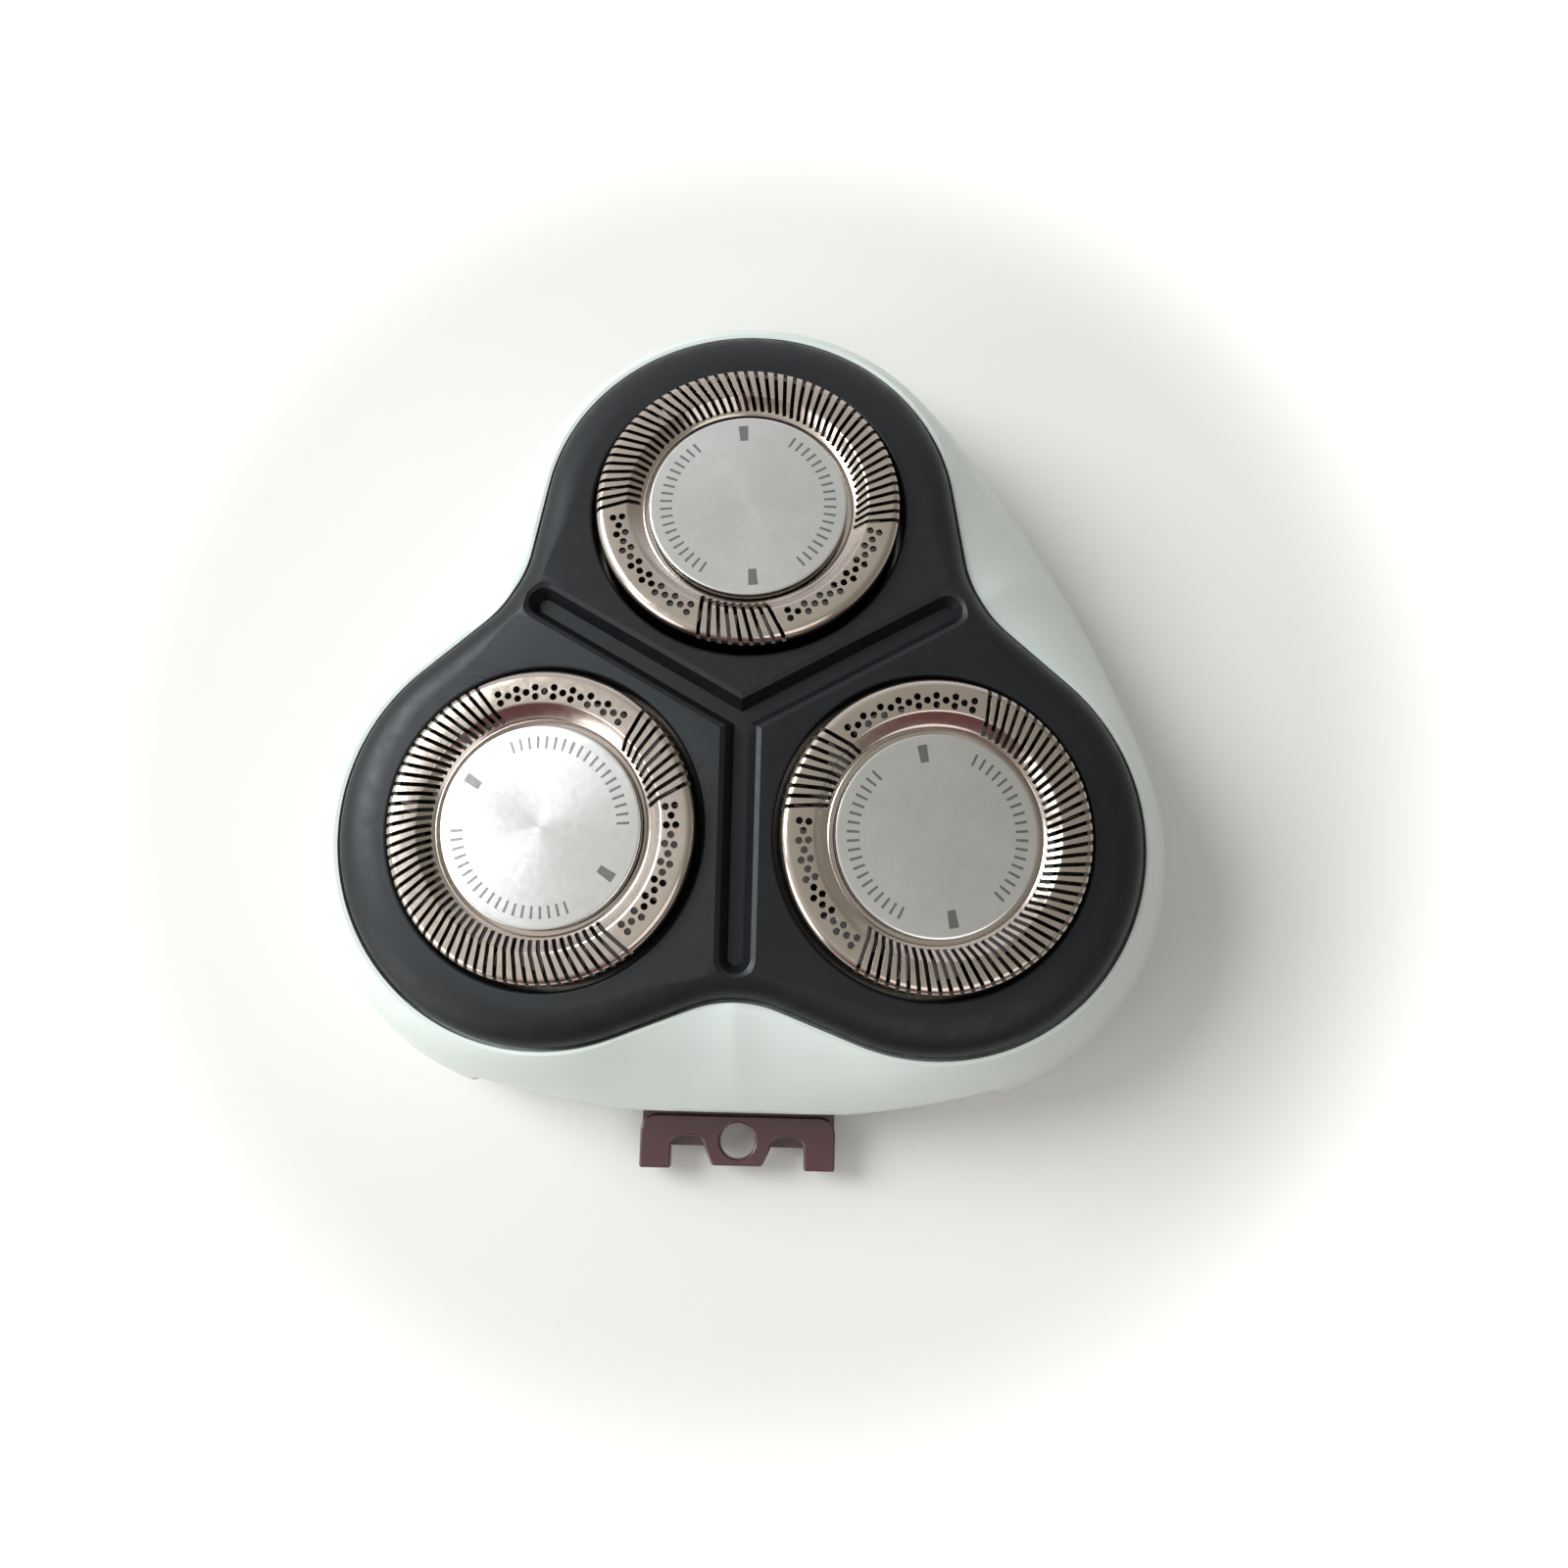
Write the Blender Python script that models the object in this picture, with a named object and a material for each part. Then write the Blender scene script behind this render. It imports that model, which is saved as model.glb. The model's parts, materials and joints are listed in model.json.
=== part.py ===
"""Rotary shaver head: three slotted guards with cutters, a trefoil face plate and a hair chamber below.

Metres, +Z up. The open rim of the housing stands on z = 0 and the face looks up. The head axis is vertical, and
the hinge bracket points to -Y. Guard 1 is at +Y, guard 2 and guard 3 follow anticlockwise seen from above.
"""

from math import atan, atan2, cos, pi, radians, sin, sqrt, tan

import bmesh
import bpy
from mathutils import Matrix, Vector

MM = 0.001

# Clearances. Bodies that are joined step back a little, so that none of their faces lie in one plane
SEAT_GAP = 0.3 * MM
RUNNING_GAP = 0.35 * MM
STEP_BACK = 0.02 * MM

# Head layout
GUARD_TOP = 18.0 * MM
GUARD_WEB = 5.58 * MM
LOBE_TILT = radians(7.2)
FIRST_LOBE = radians(90)
LOBES = 3

# Guard: a pressed cup with a slotted track round a sunk well
GUARD_RADIUS = 10.6 * MM
GUARD_WALL = 0.3 * MM
GUARD_PROUD = 1.4 * MM
GUARD_TRAVEL = 1.2 * MM
GUARD_FLANGE_WIDTH = 1.1 * MM
GUARD_FLANGE_THICKNESS = 0.4 * MM
GUARD_TURNS = (radians(-2.3), radians(1.0), radians(4.1))
TRACK_SHOULDER = 0.45 * MM
TRACK_WIDTH = 2.25 * MM
WELL_SLOPE_WIDTH = 1.1 * MM
WELL_LIP_DEPTH = 0.95 * MM
WELL_DEPTH = 1.6 * MM
SLOT_PITCH = radians(4)
OUTER_SLOTS = 49
INNER_SLOTS = 9
SLOT_WIDTH = 0.245 * MM
SLOT_SKEW = radians(14)
SLOT_MARGIN = 0.25 * MM
DISC_THICKNESS = 0.7 * MM
DISC_CROWN = 0.12 * MM
DISC_BEVEL = 0.12 * MM

# Cutter: a stamped blade ring, a lifter ring on it and a moulded hub below
BLADES = 9
BLADE_THICKNESS = 0.35 * MM
BLADE_RAKE = radians(22)
BLADE_TAB_WIDTH = 2.4 * MM
BLADE_RING_INSET = 0.95 * MM
BLADE_PLATE_THICKNESS = 0.4 * MM
LIFTER_THICKNESS = 0.25 * MM
LIFTER_REACH_SHORT = 0.25 * MM
LIFTER_FINGER_WIDTH = 1.1 * MM
LIFTER_RING_INSET = 0.5 * MM
HUB_BOSS_RADIUS = 2.6 * MM
HUB_FLANGE_RADIUS = 4.2 * MM
HUB_FLANGE_THICKNESS = 0.8 * MM
HUB_STEM_RADIUS = 2.95 * MM
HUB_STEM_LENGTH = 2.65 * MM
DRIVE_SLOT_LENGTH = 4.4 * MM
DRIVE_SLOT_WIDTH = 1.7 * MM
DRIVE_SLOT_DEPTH = 2.2 * MM

# Face plate: three tilted pads in a trefoil outline, with a Y groove between them
PLATE_MARGIN = 3.9 * MM
FLANK_SLOPE = radians(21.5)
WAIST_RADIUS = 8.0 * MM
PLATE_THICKNESS = 1.8 * MM
PAD_INSET = 1.7 * MM
EDGE_DROP = 1.7 * MM
EDGE_START = radians(30)
SKIRT_HEIGHT = 1.5 * MM
SKIRT_WALL = 1.5 * MM
GROOVE_FLOOR_WIDTH = 1.4 * MM
GROOVE_WALL_WIDTH = 1.8 * MM
GROOVE_TOP_WIDTH = 2.4 * MM
GROOVE_BEVEL_DEPTH = 0.3 * MM
GROOVE_DEPTH = 1.1 * MM
GROOVE_END_MARGIN = 1.4 * MM
POST_RADIUS = 2.2 * MM
POST_HEAD_LENGTH = 7.0 * MM
POST_HEAD_WIDTH = 2.4 * MM
POST_HEAD_THICKNESS = 0.9 * MM
STANDOFF_DISTANCE = 14.4 * MM
STANDOFF_RADIUS = 1.5 * MM

# Housing: a loft from the trefoil to a rounded triangle. Curves hold shares of the base's inset and of its height
CORNER_SPREAD = 5.7 * MM
CORNER_PULL = 2.26 * MM
WIDEST_HEIGHT = 5.5 * MM
BASE_INSET = 1.3 * MM
BASE_CURVE = ((0.15, 0.6), (0.5, 0.2), (1.0, 0.0))
HOUSING_WALL = 1.6 * MM
HOUSING_LIP = 0.3 * MM
HOUSING_CROWN = 0.55
LIP_BELOW_EDGE = 0.2 * MM
LEDGE_WIDTH = 1.4 * MM
LEDGE_THICKNESS = 1.2 * MM
HINGE_PAD_WIDTH = 39.0 * MM
HINGE_PAD_RISE = 0.35 * MM
HINGE_PAD_CURVE = ((0.5, 0.2), (0.15, 0.6), (0.05, 0.9))

# Retaining frame and its lock knob
FRAME_RING_MARGIN = 0.5 * MM
FRAME_RING_WIDTH = 2.5 * MM
FRAME_RING_THICKNESS = 1.2 * MM
FRAME_SPOKE_WIDTH = 1.5 * MM
FRAME_COLLAR_WALL = 1.1 * MM
FRAME_HUB_WALL = 1.85 * MM
FRAME_HUB_TOP = 13.4 * MM
FRAME_HUB_THICKNESS = 1.5 * MM
FRAME_ARM_WIDTH = 4.0 * MM
FRAME_ARM_STEP = 0.1 * MM
KNOB_RADIUS = 6.2 * MM
KNOB_FLUTE_DEPTH = 0.25 * MM
KNOB_FLUTES = 12
KNOB_HEIGHT = 4.4 * MM
KNOB_WEB = 1.7 * MM
KNOB_BEVEL = 0.3 * MM

# Hinge bracket on its pin, in a window of the housing's rim
HINGE_INSET = 2.5 * MM
HINGE_HEIGHT = 2.2 * MM
BARREL_RADIUS = 1.7 * MM
PIN_RADIUS = 0.8 * MM
LUG_THICKNESS = 2.3 * MM
LUG_HEIGHT = 4.4 * MM
PIN_INSET = 0.2 * MM
BRACKET_WIDTH = 14.4 * MM
BRACKET_OUT = 3.8 * MM
BRACKET_THICKNESS = 1.7 * MM
BRACKET_SHOULDER = 1.2 * MM
BRACKET_LEG_WIDTH = 2.3 * MM
BRACKET_LEDGE = 0.5 * MM
NOTCH_DEPTH = 2.45 * MM
NOTCH_ROUNDING = 0.8 * MM
TONGUE_ROOT_WIDTH = 4.9 * MM
TONGUE_TIP_WIDTH = 3.7 * MM
TONGUE_SHORT = 0.25 * MM
BRACKET_HOLE_RADIUS = 1.45 * MM
BRACKET_HOLE_TO_TIP = 1.9 * MM
WINDOW_HEIGHT = 4.7 * MM

# Facets
STATIONS = 72
ROUND_STEPS = 36
HIDDEN_STEPS = 24
SMALL_STEPS = 16
CORNER_STEPS = 4
EDGE_STEPS = 4
SIDE_STEPS = 6
SHARP_ANGLE = radians(35)

# Where the pieces stand along a guard's axis, with the top of its track at 0
GUARD_DEPTH = GUARD_PROUD + PLATE_THICKNESS + SEAT_GAP + GUARD_TRAVEL + GUARD_FLANGE_THICKNESS
GUARD_BORE = GUARD_RADIUS - GUARD_WALL
TRACK_INNER_RADIUS = GUARD_RADIUS - TRACK_WIDTH
WELL_RADIUS = TRACK_INNER_RADIUS - WELL_SLOPE_WIDTH
BLADE_TOP = -(GUARD_WALL + SEAT_GAP)
BLADE_OUTER = GUARD_BORE - TRACK_SHOULDER
BLADE_INNER = TRACK_INNER_RADIUS + SEAT_GAP
BLADE_RING_RADIUS = TRACK_INNER_RADIUS - BLADE_RING_INSET
LIFTER_RING_RADIUS = BLADE_RING_RADIUS - LIFTER_RING_INSET
LIFTER_TOP = -(WELL_DEPTH + GUARD_WALL + SEAT_GAP)
BLADE_PLATE_TOP = LIFTER_TOP - LIFTER_THICKNESS - SEAT_GAP
HUB_FLANGE_TOP = BLADE_PLATE_TOP - BLADE_PLATE_THICKNESS - SEAT_GAP
HUB_FLANGE_BOTTOM = HUB_FLANGE_TOP - HUB_FLANGE_THICKNESS
HUB_BOTTOM = HUB_FLANGE_BOTTOM - HUB_STEM_LENGTH
FRAME_RING_TOP = -(GUARD_DEPTH + SEAT_GAP)
FRAME_RING_BOTTOM = FRAME_RING_TOP - FRAME_RING_THICKNESS
FRAME_RING_RADIUS = GUARD_RADIUS + GUARD_FLANGE_WIDTH + FRAME_RING_MARGIN
GUARD_HOLE_RADIUS = GUARD_RADIUS + RUNNING_GAP

# The plate's outline in the frame of a waist: a lobe's arc, a straight flank and the waist's arc
LOBE_DISTANCE = (2 * GUARD_RADIUS + GUARD_WEB) / (2 * sin(pi / LOBES))
PLATE_LOBE_RADIUS = GUARD_RADIUS + PLATE_MARGIN
FLANK_OUTER_X = LOBE_DISTANCE * cos(pi / LOBES) + PLATE_LOBE_RADIUS * cos(FLANK_SLOPE)
FLANK_OUTER_Y = LOBE_DISTANCE * sin(pi / LOBES) - PLATE_LOBE_RADIUS * sin(FLANK_SLOPE)
FLANK_CROSSING = FLANK_OUTER_X - FLANK_OUTER_Y * tan(FLANK_SLOPE)
WAIST_CENTRE = FLANK_CROSSING + WAIST_RADIUS / cos(FLANK_SLOPE)
WAIST_REACH = WAIST_CENTRE - WAIST_RADIUS
FLANK_INNER_X = WAIST_CENTRE - WAIST_RADIUS * cos(FLANK_SLOPE)
FLANK_INNER_Y = WAIST_RADIUS * sin(FLANK_SLOPE)

# Outline of the housing's straight sides and the reach of the whole head
CORNER_DISTANCE = LOBE_DISTANCE - CORNER_PULL
CORNER_RADIUS = PLATE_LOBE_RADIUS + CORNER_SPREAD
SIDE_DISTANCE = CORNER_DISTANCE * cos(pi / LOBES) + CORNER_RADIUS
CORNER_REACH = CORNER_DISTANCE + CORNER_RADIUS
AXIS_Y = (SIDE_DISTANCE + BRACKET_OUT - CORNER_REACH) / 2
HINGE_DISTANCE = SIDE_DISTANCE - HINGE_INSET

# Heights of the lock, from the frame's hub down
KNOB_TOP = FRAME_HUB_TOP - FRAME_HUB_THICKNESS - SEAT_GAP
POST_HEAD_TOP = KNOB_TOP - KNOB_WEB - SEAT_GAP
POST_HEAD_BOTTOM = POST_HEAD_TOP - POST_HEAD_THICKNESS
LOCK_BORE = sqrt(POST_HEAD_LENGTH**2 + POST_HEAD_WIDTH**2) / 2 + RUNNING_GAP
FRAME_HUB_RADIUS = LOCK_BORE + FRAME_HUB_WALL


def clear_scene():
    for old in list(bpy.data.objects):
        bpy.data.objects.remove(old, do_unlink=True)


def material(name, colour, roughness, metallic=0.0):
    made = bpy.data.materials.new(name)
    made.use_nodes = True
    shader = made.node_tree.nodes["Principled BSDF"]
    shader.inputs["Base Color"].default_value = (*colour, 1.0)
    shader.inputs["Roughness"].default_value = roughness
    shader.inputs["Metallic"].default_value = metallic
    return made


def empty(name, parent=None, matrix=None):
    made = bpy.data.objects.new(name, None)
    bpy.context.scene.collection.objects.link(made)
    made.parent = parent
    if matrix is not None:
        made.matrix_local = matrix
    return made


def finish(name, bm, parent, finish_material=None):
    """Turns a bmesh into an object, with its faces outward and its round faces shaded smooth."""
    bmesh.ops.recalc_face_normals(bm, faces=bm.faces)
    mesh = bpy.data.meshes.new(name)
    bm.to_mesh(mesh)
    bm.free()
    mesh.shade_smooth()
    mesh.set_sharp_from_angle(angle=SHARP_ANGLE)
    made = bpy.data.objects.new(name, mesh)
    bpy.context.scene.collection.objects.link(made)
    made.parent = parent
    if finish_material:
        mesh.materials.append(finish_material)
    return made


def boolean(target, tool, operation):
    tool.hide_render = True
    tool.display_type = "WIRE"
    modifier = target.modifiers.new(tool.name, "BOOLEAN")
    modifier.operation = operation
    modifier.solver = "EXACT"
    modifier.object = tool


def cut(target, tool):
    boolean(target, tool, "DIFFERENCE")


def join(target, tool):
    boolean(target, tool, "UNION")


def turn(bm, profile, steps, matrix=Matrix()):
    """Adds the solid that a closed outline of (radius, height) points sweeps round the Z axis."""
    rings = []
    for radius, height in profile:
        count = steps if radius > 0 else 1
        ring = []
        for i in range(count):
            angle = 2 * pi * i / steps
            ring.append(bm.verts.new(matrix @ Vector((radius * cos(angle), radius * sin(angle), height))))
        rings.append(ring)
    half = steps // 2
    for k in range(len(rings)):
        ring, following = rings[k - 1], rings[k]
        flat = profile[k - 1][1] == profile[k][1]
        if flat and len(ring) == len(following):
            for first in (0, half):
                places = [(first + i) % steps for i in range(half + 1)]
                bm.faces.new([ring[i] for i in places] + [following[i] for i in reversed(places)])
        elif flat:
            bm.faces.new(max(ring, following, key=len))
        else:
            for i in range(steps):
                corners = [ring[i % len(ring)], ring[(i + 1) % len(ring)]]
                corners += [following[(i + 1) % len(following)], following[i % len(following)]]
                different = list(dict.fromkeys(corners))
                if len(different) > 2:
                    bm.faces.new(different)
    bmesh.ops.delete(bm, geom=[vert for vert in bm.verts if not vert.link_faces], context="VERTS")


def rod(bm, radius, bottom, top, steps, matrix=Matrix()):
    turn(bm, [(0, bottom), (radius, bottom), (radius, top), (0, top)], steps, matrix)


def tube(bm, bore, radius, bottom, top, steps, matrix=Matrix()):
    turn(bm, [(bore, bottom), (radius, bottom), (radius, top), (bore, top)], steps, matrix)


def layers(bm, rings):
    """Adds the solid between two flat end rings, through the rings of points that lie between them."""
    loops = [[bm.verts.new(point) for point in ring] for ring in rings]
    bm.faces.new(loops[0][::-1])
    bm.faces.new(loops[-1])
    for low, high in zip(loops, loops[1:]):
        for i in range(len(low)):
            j = (i + 1) % len(low)
            bm.faces.new((low[i], low[j], high[j], high[i]))


def prism(bm, outline, bottom, top, matrix=Matrix()):
    """Adds an outline of (x, y) points extruded from one height to another."""
    layers(bm, [[matrix @ Vector((x, y, height)) for x, y in outline] for height in (bottom, top)])


def block(bm, x_range, y_range, z_range, matrix=Matrix()):
    corners = [(x_range[i], y_range[j]) for i, j in ((0, 0), (1, 0), (1, 1), (0, 1))]
    prism(bm, corners, z_range[0], z_range[1], matrix)


def rounded(corner, start, end, radius):
    """Points of the arc that rounds a right-angled corner, from start's side to end's side."""
    corner, start, end = Vector(corner), Vector(start), Vector(end)
    first = (start - corner).normalized() * radius
    last = (end - corner).normalized() * radius
    middle = corner + first + last
    points = []
    for i in range(CORNER_STEPS + 1):
        angle = pi / 2 * i / CORNER_STEPS
        point = middle - last * cos(angle) - first * sin(angle)
        points.append((point.x, point.y))
    return points


def skin(bm, rings, start=None, end=None):
    """Bridges rings of points. Without end points the last ring meets the first.

    Each end point closes its ring with one flat face for each lobe, from waist to waist.
    """
    loops = [[bm.verts.new(point) for point in ring] for ring in rings]
    following = loops[1:] if start else loops[1:] + loops[:1]
    count = len(loops[0])
    for one, other in zip(loops, following):
        for i in range(count):
            j = (i + 1) % count
            bm.faces.new((one[i], one[j], other[j], other[i]))
    sector = count // LOBES
    waist = round((FIRST_LOBE + pi / LOBES) / (2 * pi) * count)
    for point, loop in ((start, loops[0]), (end, loops[-1])):
        if point:
            tip = bm.verts.new(point)
            for number in range(LOBES):
                first = waist + number * sector
                bm.faces.new([tip] + [loop[(first + i) % count] for i in range(sector + 1)])


def station(i):
    return 2 * pi * i / STATIONS


def fold(angle):
    """Angle from the nearest lobe direction: 0 on a lobe, 60 degrees at a waist."""
    return abs((angle - FIRST_LOBE + pi / LOBES) % (2 * pi / LOBES) - pi / LOBES)


def plate_reach(angle):
    """Reach of the plate's outline from the head axis."""
    away = fold(angle)
    left = pi / LOBES - away
    if left >= atan2(FLANK_OUTER_Y, FLANK_OUTER_X):
        return LOBE_DISTANCE * cos(away) + sqrt(PLATE_LOBE_RADIUS**2 - (LOBE_DISTANCE * sin(away)) ** 2)
    if left >= atan2(FLANK_INNER_Y, FLANK_INNER_X):
        return FLANK_CROSSING / (cos(left) - sin(left) * tan(FLANK_SLOPE))
    return WAIST_CENTRE * cos(left) - sqrt(WAIST_RADIUS**2 - (WAIST_CENTRE * sin(left)) ** 2)


def triangle_reach(angle):
    """Reach of the housing's widest outline: a triangle with straight sides and round corners."""
    away = fold(angle)
    meet = atan2(CORNER_RADIUS * sin(pi / LOBES), CORNER_DISTANCE + CORNER_RADIUS * cos(pi / LOBES))
    if away <= meet:
        return CORNER_DISTANCE * cos(away) + sqrt(CORNER_RADIUS**2 - (CORNER_DISTANCE * sin(away)) ** 2)
    return SIDE_DISTANCE / cos(pi / LOBES - away)


def pad_height(angle, reach):
    """Height of the tilted pads, which lie square to the guards' axes."""
    outward = reach * cos(fold(angle)) - LOBE_DISTANCE
    return GUARD_TOP - GUARD_PROUD / cos(LOBE_TILT) - tan(LOBE_TILT) * outward


def polar(angle, reach, height):
    return Vector((reach * cos(angle), reach * sin(angle), height))


def lobe_matrix(number):
    """Places a guard's own frame: the top of its track at 0 and its axis leaning outward."""
    angle = FIRST_LOBE + 2 * pi * (number - 1) / LOBES
    spin = Matrix.Rotation(angle, 4, "Z")
    return spin @ Matrix.Translation((LOBE_DISTANCE, 0, GUARD_TOP)) @ Matrix.Rotation(LOBE_TILT, 4, "Y")


def waist_matrix(number):
    return Matrix.Rotation(FIRST_LOBE + pi / LOBES + 2 * pi * number / LOBES, 4, "Z")


def plate_ring(inset, drop):
    """The plate's outline drawn in by an inset, that far below the pads."""
    points = []
    for i in range(STATIONS):
        reach = plate_reach(station(i)) - inset
        points.append(polar(station(i), reach, pad_height(station(i), reach) - drop))
    return points


def make_head_plate(root, colour):
    rings = []
    for i in range(EDGE_STEPS + 1):
        angle = EDGE_START + (pi / 2 - EDGE_START) * i / EDGE_STEPS
        inset = PAD_INSET * (1 - sin(angle)) / (1 - sin(EDGE_START))
        drop = EDGE_DROP * (cos(EDGE_START) - cos(angle)) / cos(EDGE_START)
        rings.append(plate_ring(inset, drop))
    rings.append(plate_ring(0, EDGE_DROP + SKIRT_HEIGHT))
    rings.append(plate_ring(SKIRT_WALL, EDGE_DROP + SKIRT_HEIGHT))
    rings.append(plate_ring(SKIRT_WALL, PLATE_THICKNESS))
    top = polar(0, 0, pad_height(0, 0))
    bm = bmesh.new()
    skin(bm, rings, top, top - Vector((0, 0, PLATE_THICKNESS)))
    plate = finish("head_plate", bm, root, colour)

    # The lock's post with its cross head, and three stand-offs over the frame's arms
    posts = bmesh.new()
    heads = bmesh.new()
    inside = PLATE_THICKNESS / 3
    post_bottom = POST_HEAD_BOTTOM + POST_HEAD_THICKNESS / 2
    rod(posts, POST_RADIUS, post_bottom, top.z - PLATE_THICKNESS + inside, SMALL_STEPS)
    standoff_bottom = FRAME_HUB_TOP + SEAT_GAP
    standoff_top = pad_height(FIRST_LOBE + pi / LOBES, STANDOFF_DISTANCE) - PLATE_THICKNESS + inside
    for number in range(LOBES):
        place = waist_matrix(number) @ Matrix.Translation((STANDOFF_DISTANCE, 0, 0))
        rod(posts, STANDOFF_RADIUS, standoff_bottom, standoff_top, SMALL_STEPS, place)
    block(heads, (-POST_HEAD_LENGTH / 2, POST_HEAD_LENGTH / 2), (-POST_HEAD_WIDTH / 2, POST_HEAD_WIDTH / 2),
          (POST_HEAD_BOTTOM, POST_HEAD_TOP))
    join(plate, finish("plate_posts", posts, root))
    join(plate, finish("post_head", heads, root))

    # Guard holes, square to the pads
    holes = bmesh.new()
    for number in range(1, LOBES + 1):
        rod(holes, GUARD_HOLE_RADIUS, -GUARD_DEPTH, GUARD_DEPTH, ROUND_STEPS, lobe_matrix(number))
    cut(plate, finish("guard_holes", holes, root))
    for number in range(LOBES):
        cut(plate, make_groove(number, root))
    return plate


def make_groove(number, root):
    """One arm of the Y groove, with bevelled edges, along the ridge between two pads."""
    slope = atan(tan(LOBE_TILT) * cos(pi / LOBES))
    lean = Matrix.Rotation(slope, 4, "Y")
    place = waist_matrix(number) @ Matrix.Translation((0, 0, pad_height(0, 0))) @ lean
    centre = WAIST_REACH - GROOVE_END_MARGIN - GROOVE_TOP_WIDTH / 2
    flare = (GROOVE_TOP_WIDTH - GROOVE_WALL_WIDTH) / GROOVE_BEVEL_DEPTH
    steps = ((-GROOVE_DEPTH, GROOVE_FLOOR_WIDTH), (-GROOVE_BEVEL_DEPTH, GROOVE_WALL_WIDTH),
             (GROOVE_DEPTH, GROOVE_TOP_WIDTH + flare * GROOVE_DEPTH))
    rings = []
    for height, width in steps:
        half = width / 2
        ring = []
        for i in range(2 * CORNER_STEPS + 1):
            angle = -pi / 2 + pi / 2 * i / CORNER_STEPS
            ring.append(place @ Vector((centre + half * cos(angle), half * sin(angle), height)))
        ring.append(place @ Vector((0, half, height)))
        ring.append(place @ Vector((-half * sqrt(LOBES) / LOBES, 0, height)))
        ring.append(place @ Vector((0, -half, height)))
        rings.append(ring)
    bm = bmesh.new()
    layers(bm, rings)
    return finish(f"groove_{number + 1}", bm, root)


def housing_top(angle):
    """Height of the housing's lip, just under the edge of the plate."""
    return pad_height(angle, plate_reach(angle)) - EDGE_DROP - LIP_BELOW_EDGE


def housing_side(angle, share, inset=0.0):
    """A point of the housing's side, from the lip (share 0) to the widest outline (share 1)."""
    start = plate_reach(angle) + SEAT_GAP + HOUSING_LIP
    sweep = share * pi / 2
    out = share + (sin(sweep) - share) * HOUSING_CROWN
    down = share + (1 - cos(sweep) - share) * HOUSING_CROWN
    reach = start + (triangle_reach(angle) - start) * out
    top = housing_top(angle)
    return polar(angle, reach - inset, top + (WIDEST_HEIGHT - top) * down)


def around(make_point, *values, count=STATIONS):
    """A ring of points, one for each angle."""
    return [make_point(2 * pi * i / count, *values) for i in range(count)]


def housing_recess(angle, inset, below):
    """A point of the recess that takes the plate."""
    seat = pad_height(angle, plate_reach(angle)) - EDGE_DROP - SKIRT_HEIGHT - SEAT_GAP
    height = housing_top(angle) if below is None else seat - below
    return polar(angle, plate_reach(angle) + SEAT_GAP - inset, height)


def housing_rim(angle, inset, height):
    return polar(angle, triangle_reach(angle) - inset, height)


def hinge_pad():
    """Rings of the pad over the hinge, which follows the housing's side from corner arc to corner arc."""
    angles = [station(i) for i in range(STATIONS)]
    angles = [a for a in angles if sin(a) < 0 and abs(triangle_reach(a) * cos(a)) < HINGE_PAD_WIDTH / 2]
    rings = []
    for share, height_share in HINGE_PAD_CURVE:
        inset, height = share * BASE_INSET, height_share * WIDEST_HEIGHT
        outer = [housing_rim(a, inset - HINGE_PAD_RISE, height) for a in angles]
        inner = [housing_rim(a, inset + HOUSING_WALL / 2, height) for a in reversed(angles)]
        rings.append(outer + inner)
    return rings


def make_housing(root, colour):
    rings = [around(housing_side, i / SIDE_STEPS) for i in range(SIDE_STEPS + 1)]
    rings += [around(housing_rim, inset * BASE_INSET, height * WIDEST_HEIGHT) for inset, height in BASE_CURVE]
    rings.append(around(housing_rim, BASE_INSET + HOUSING_WALL, 0.0))
    rings.append(around(housing_rim, HOUSING_WALL, WIDEST_HEIGHT))
    rings += [around(housing_side, i / SIDE_STEPS, HOUSING_WALL) for i in (SIDE_STEPS - 1, SIDE_STEPS // 2)]
    rings.append(around(housing_recess, LEDGE_WIDTH, LEDGE_THICKNESS))
    rings.append(around(housing_recess, LEDGE_WIDTH, 0.0))
    rings.append(around(housing_recess, 0.0, 0.0))
    rings.append(around(housing_recess, 0.0, None))
    bm = bmesh.new()
    skin(bm, rings)
    housing = finish("housing", bm, root, colour)

    # A raised pad over the hinge, and two lugs that carry its pin on both sides of a window in the rim
    lug_start = BRACKET_WIDTH / 2 + SEAT_GAP
    lug_back = BARREL_RADIUS - HINGE_DISTANCE
    pad = bmesh.new()
    layers(pad, hinge_pad())
    join(housing, finish("hinge_pad", pad, root))
    lugs = bmesh.new()
    for side in (-1, 1):
        x_range = sorted((side * lug_start, side * (lug_start + LUG_THICKNESS)))
        lug_front = -(SIDE_DISTANCE - (HOUSING_WALL + BASE_INSET) / 2)
        block(lugs, x_range, (lug_front, lug_back), (SEAT_GAP, LUG_HEIGHT))
    join(housing, finish("hinge_lugs", lugs, root))
    window = bmesh.new()
    block(window, (-lug_start, lug_start), (-(SIDE_DISTANCE + HOUSING_WALL), lug_back + HOUSING_WALL),
          (-HOUSING_WALL, WINDOW_HEIGHT))
    cut(housing, finish("bracket_window", window, root))
    bores = bmesh.new()
    along = Matrix.Translation((0, -HINGE_DISTANCE, HINGE_HEIGHT)) @ Matrix.Rotation(pi / 2, 4, "Y")
    reach = lug_start + LUG_THICKNESS + HOUSING_WALL
    rod(bores, PIN_RADIUS + SEAT_GAP, -reach, reach, SMALL_STEPS, along)
    cut(housing, finish("pin_bores", bores, root))
    return housing


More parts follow.
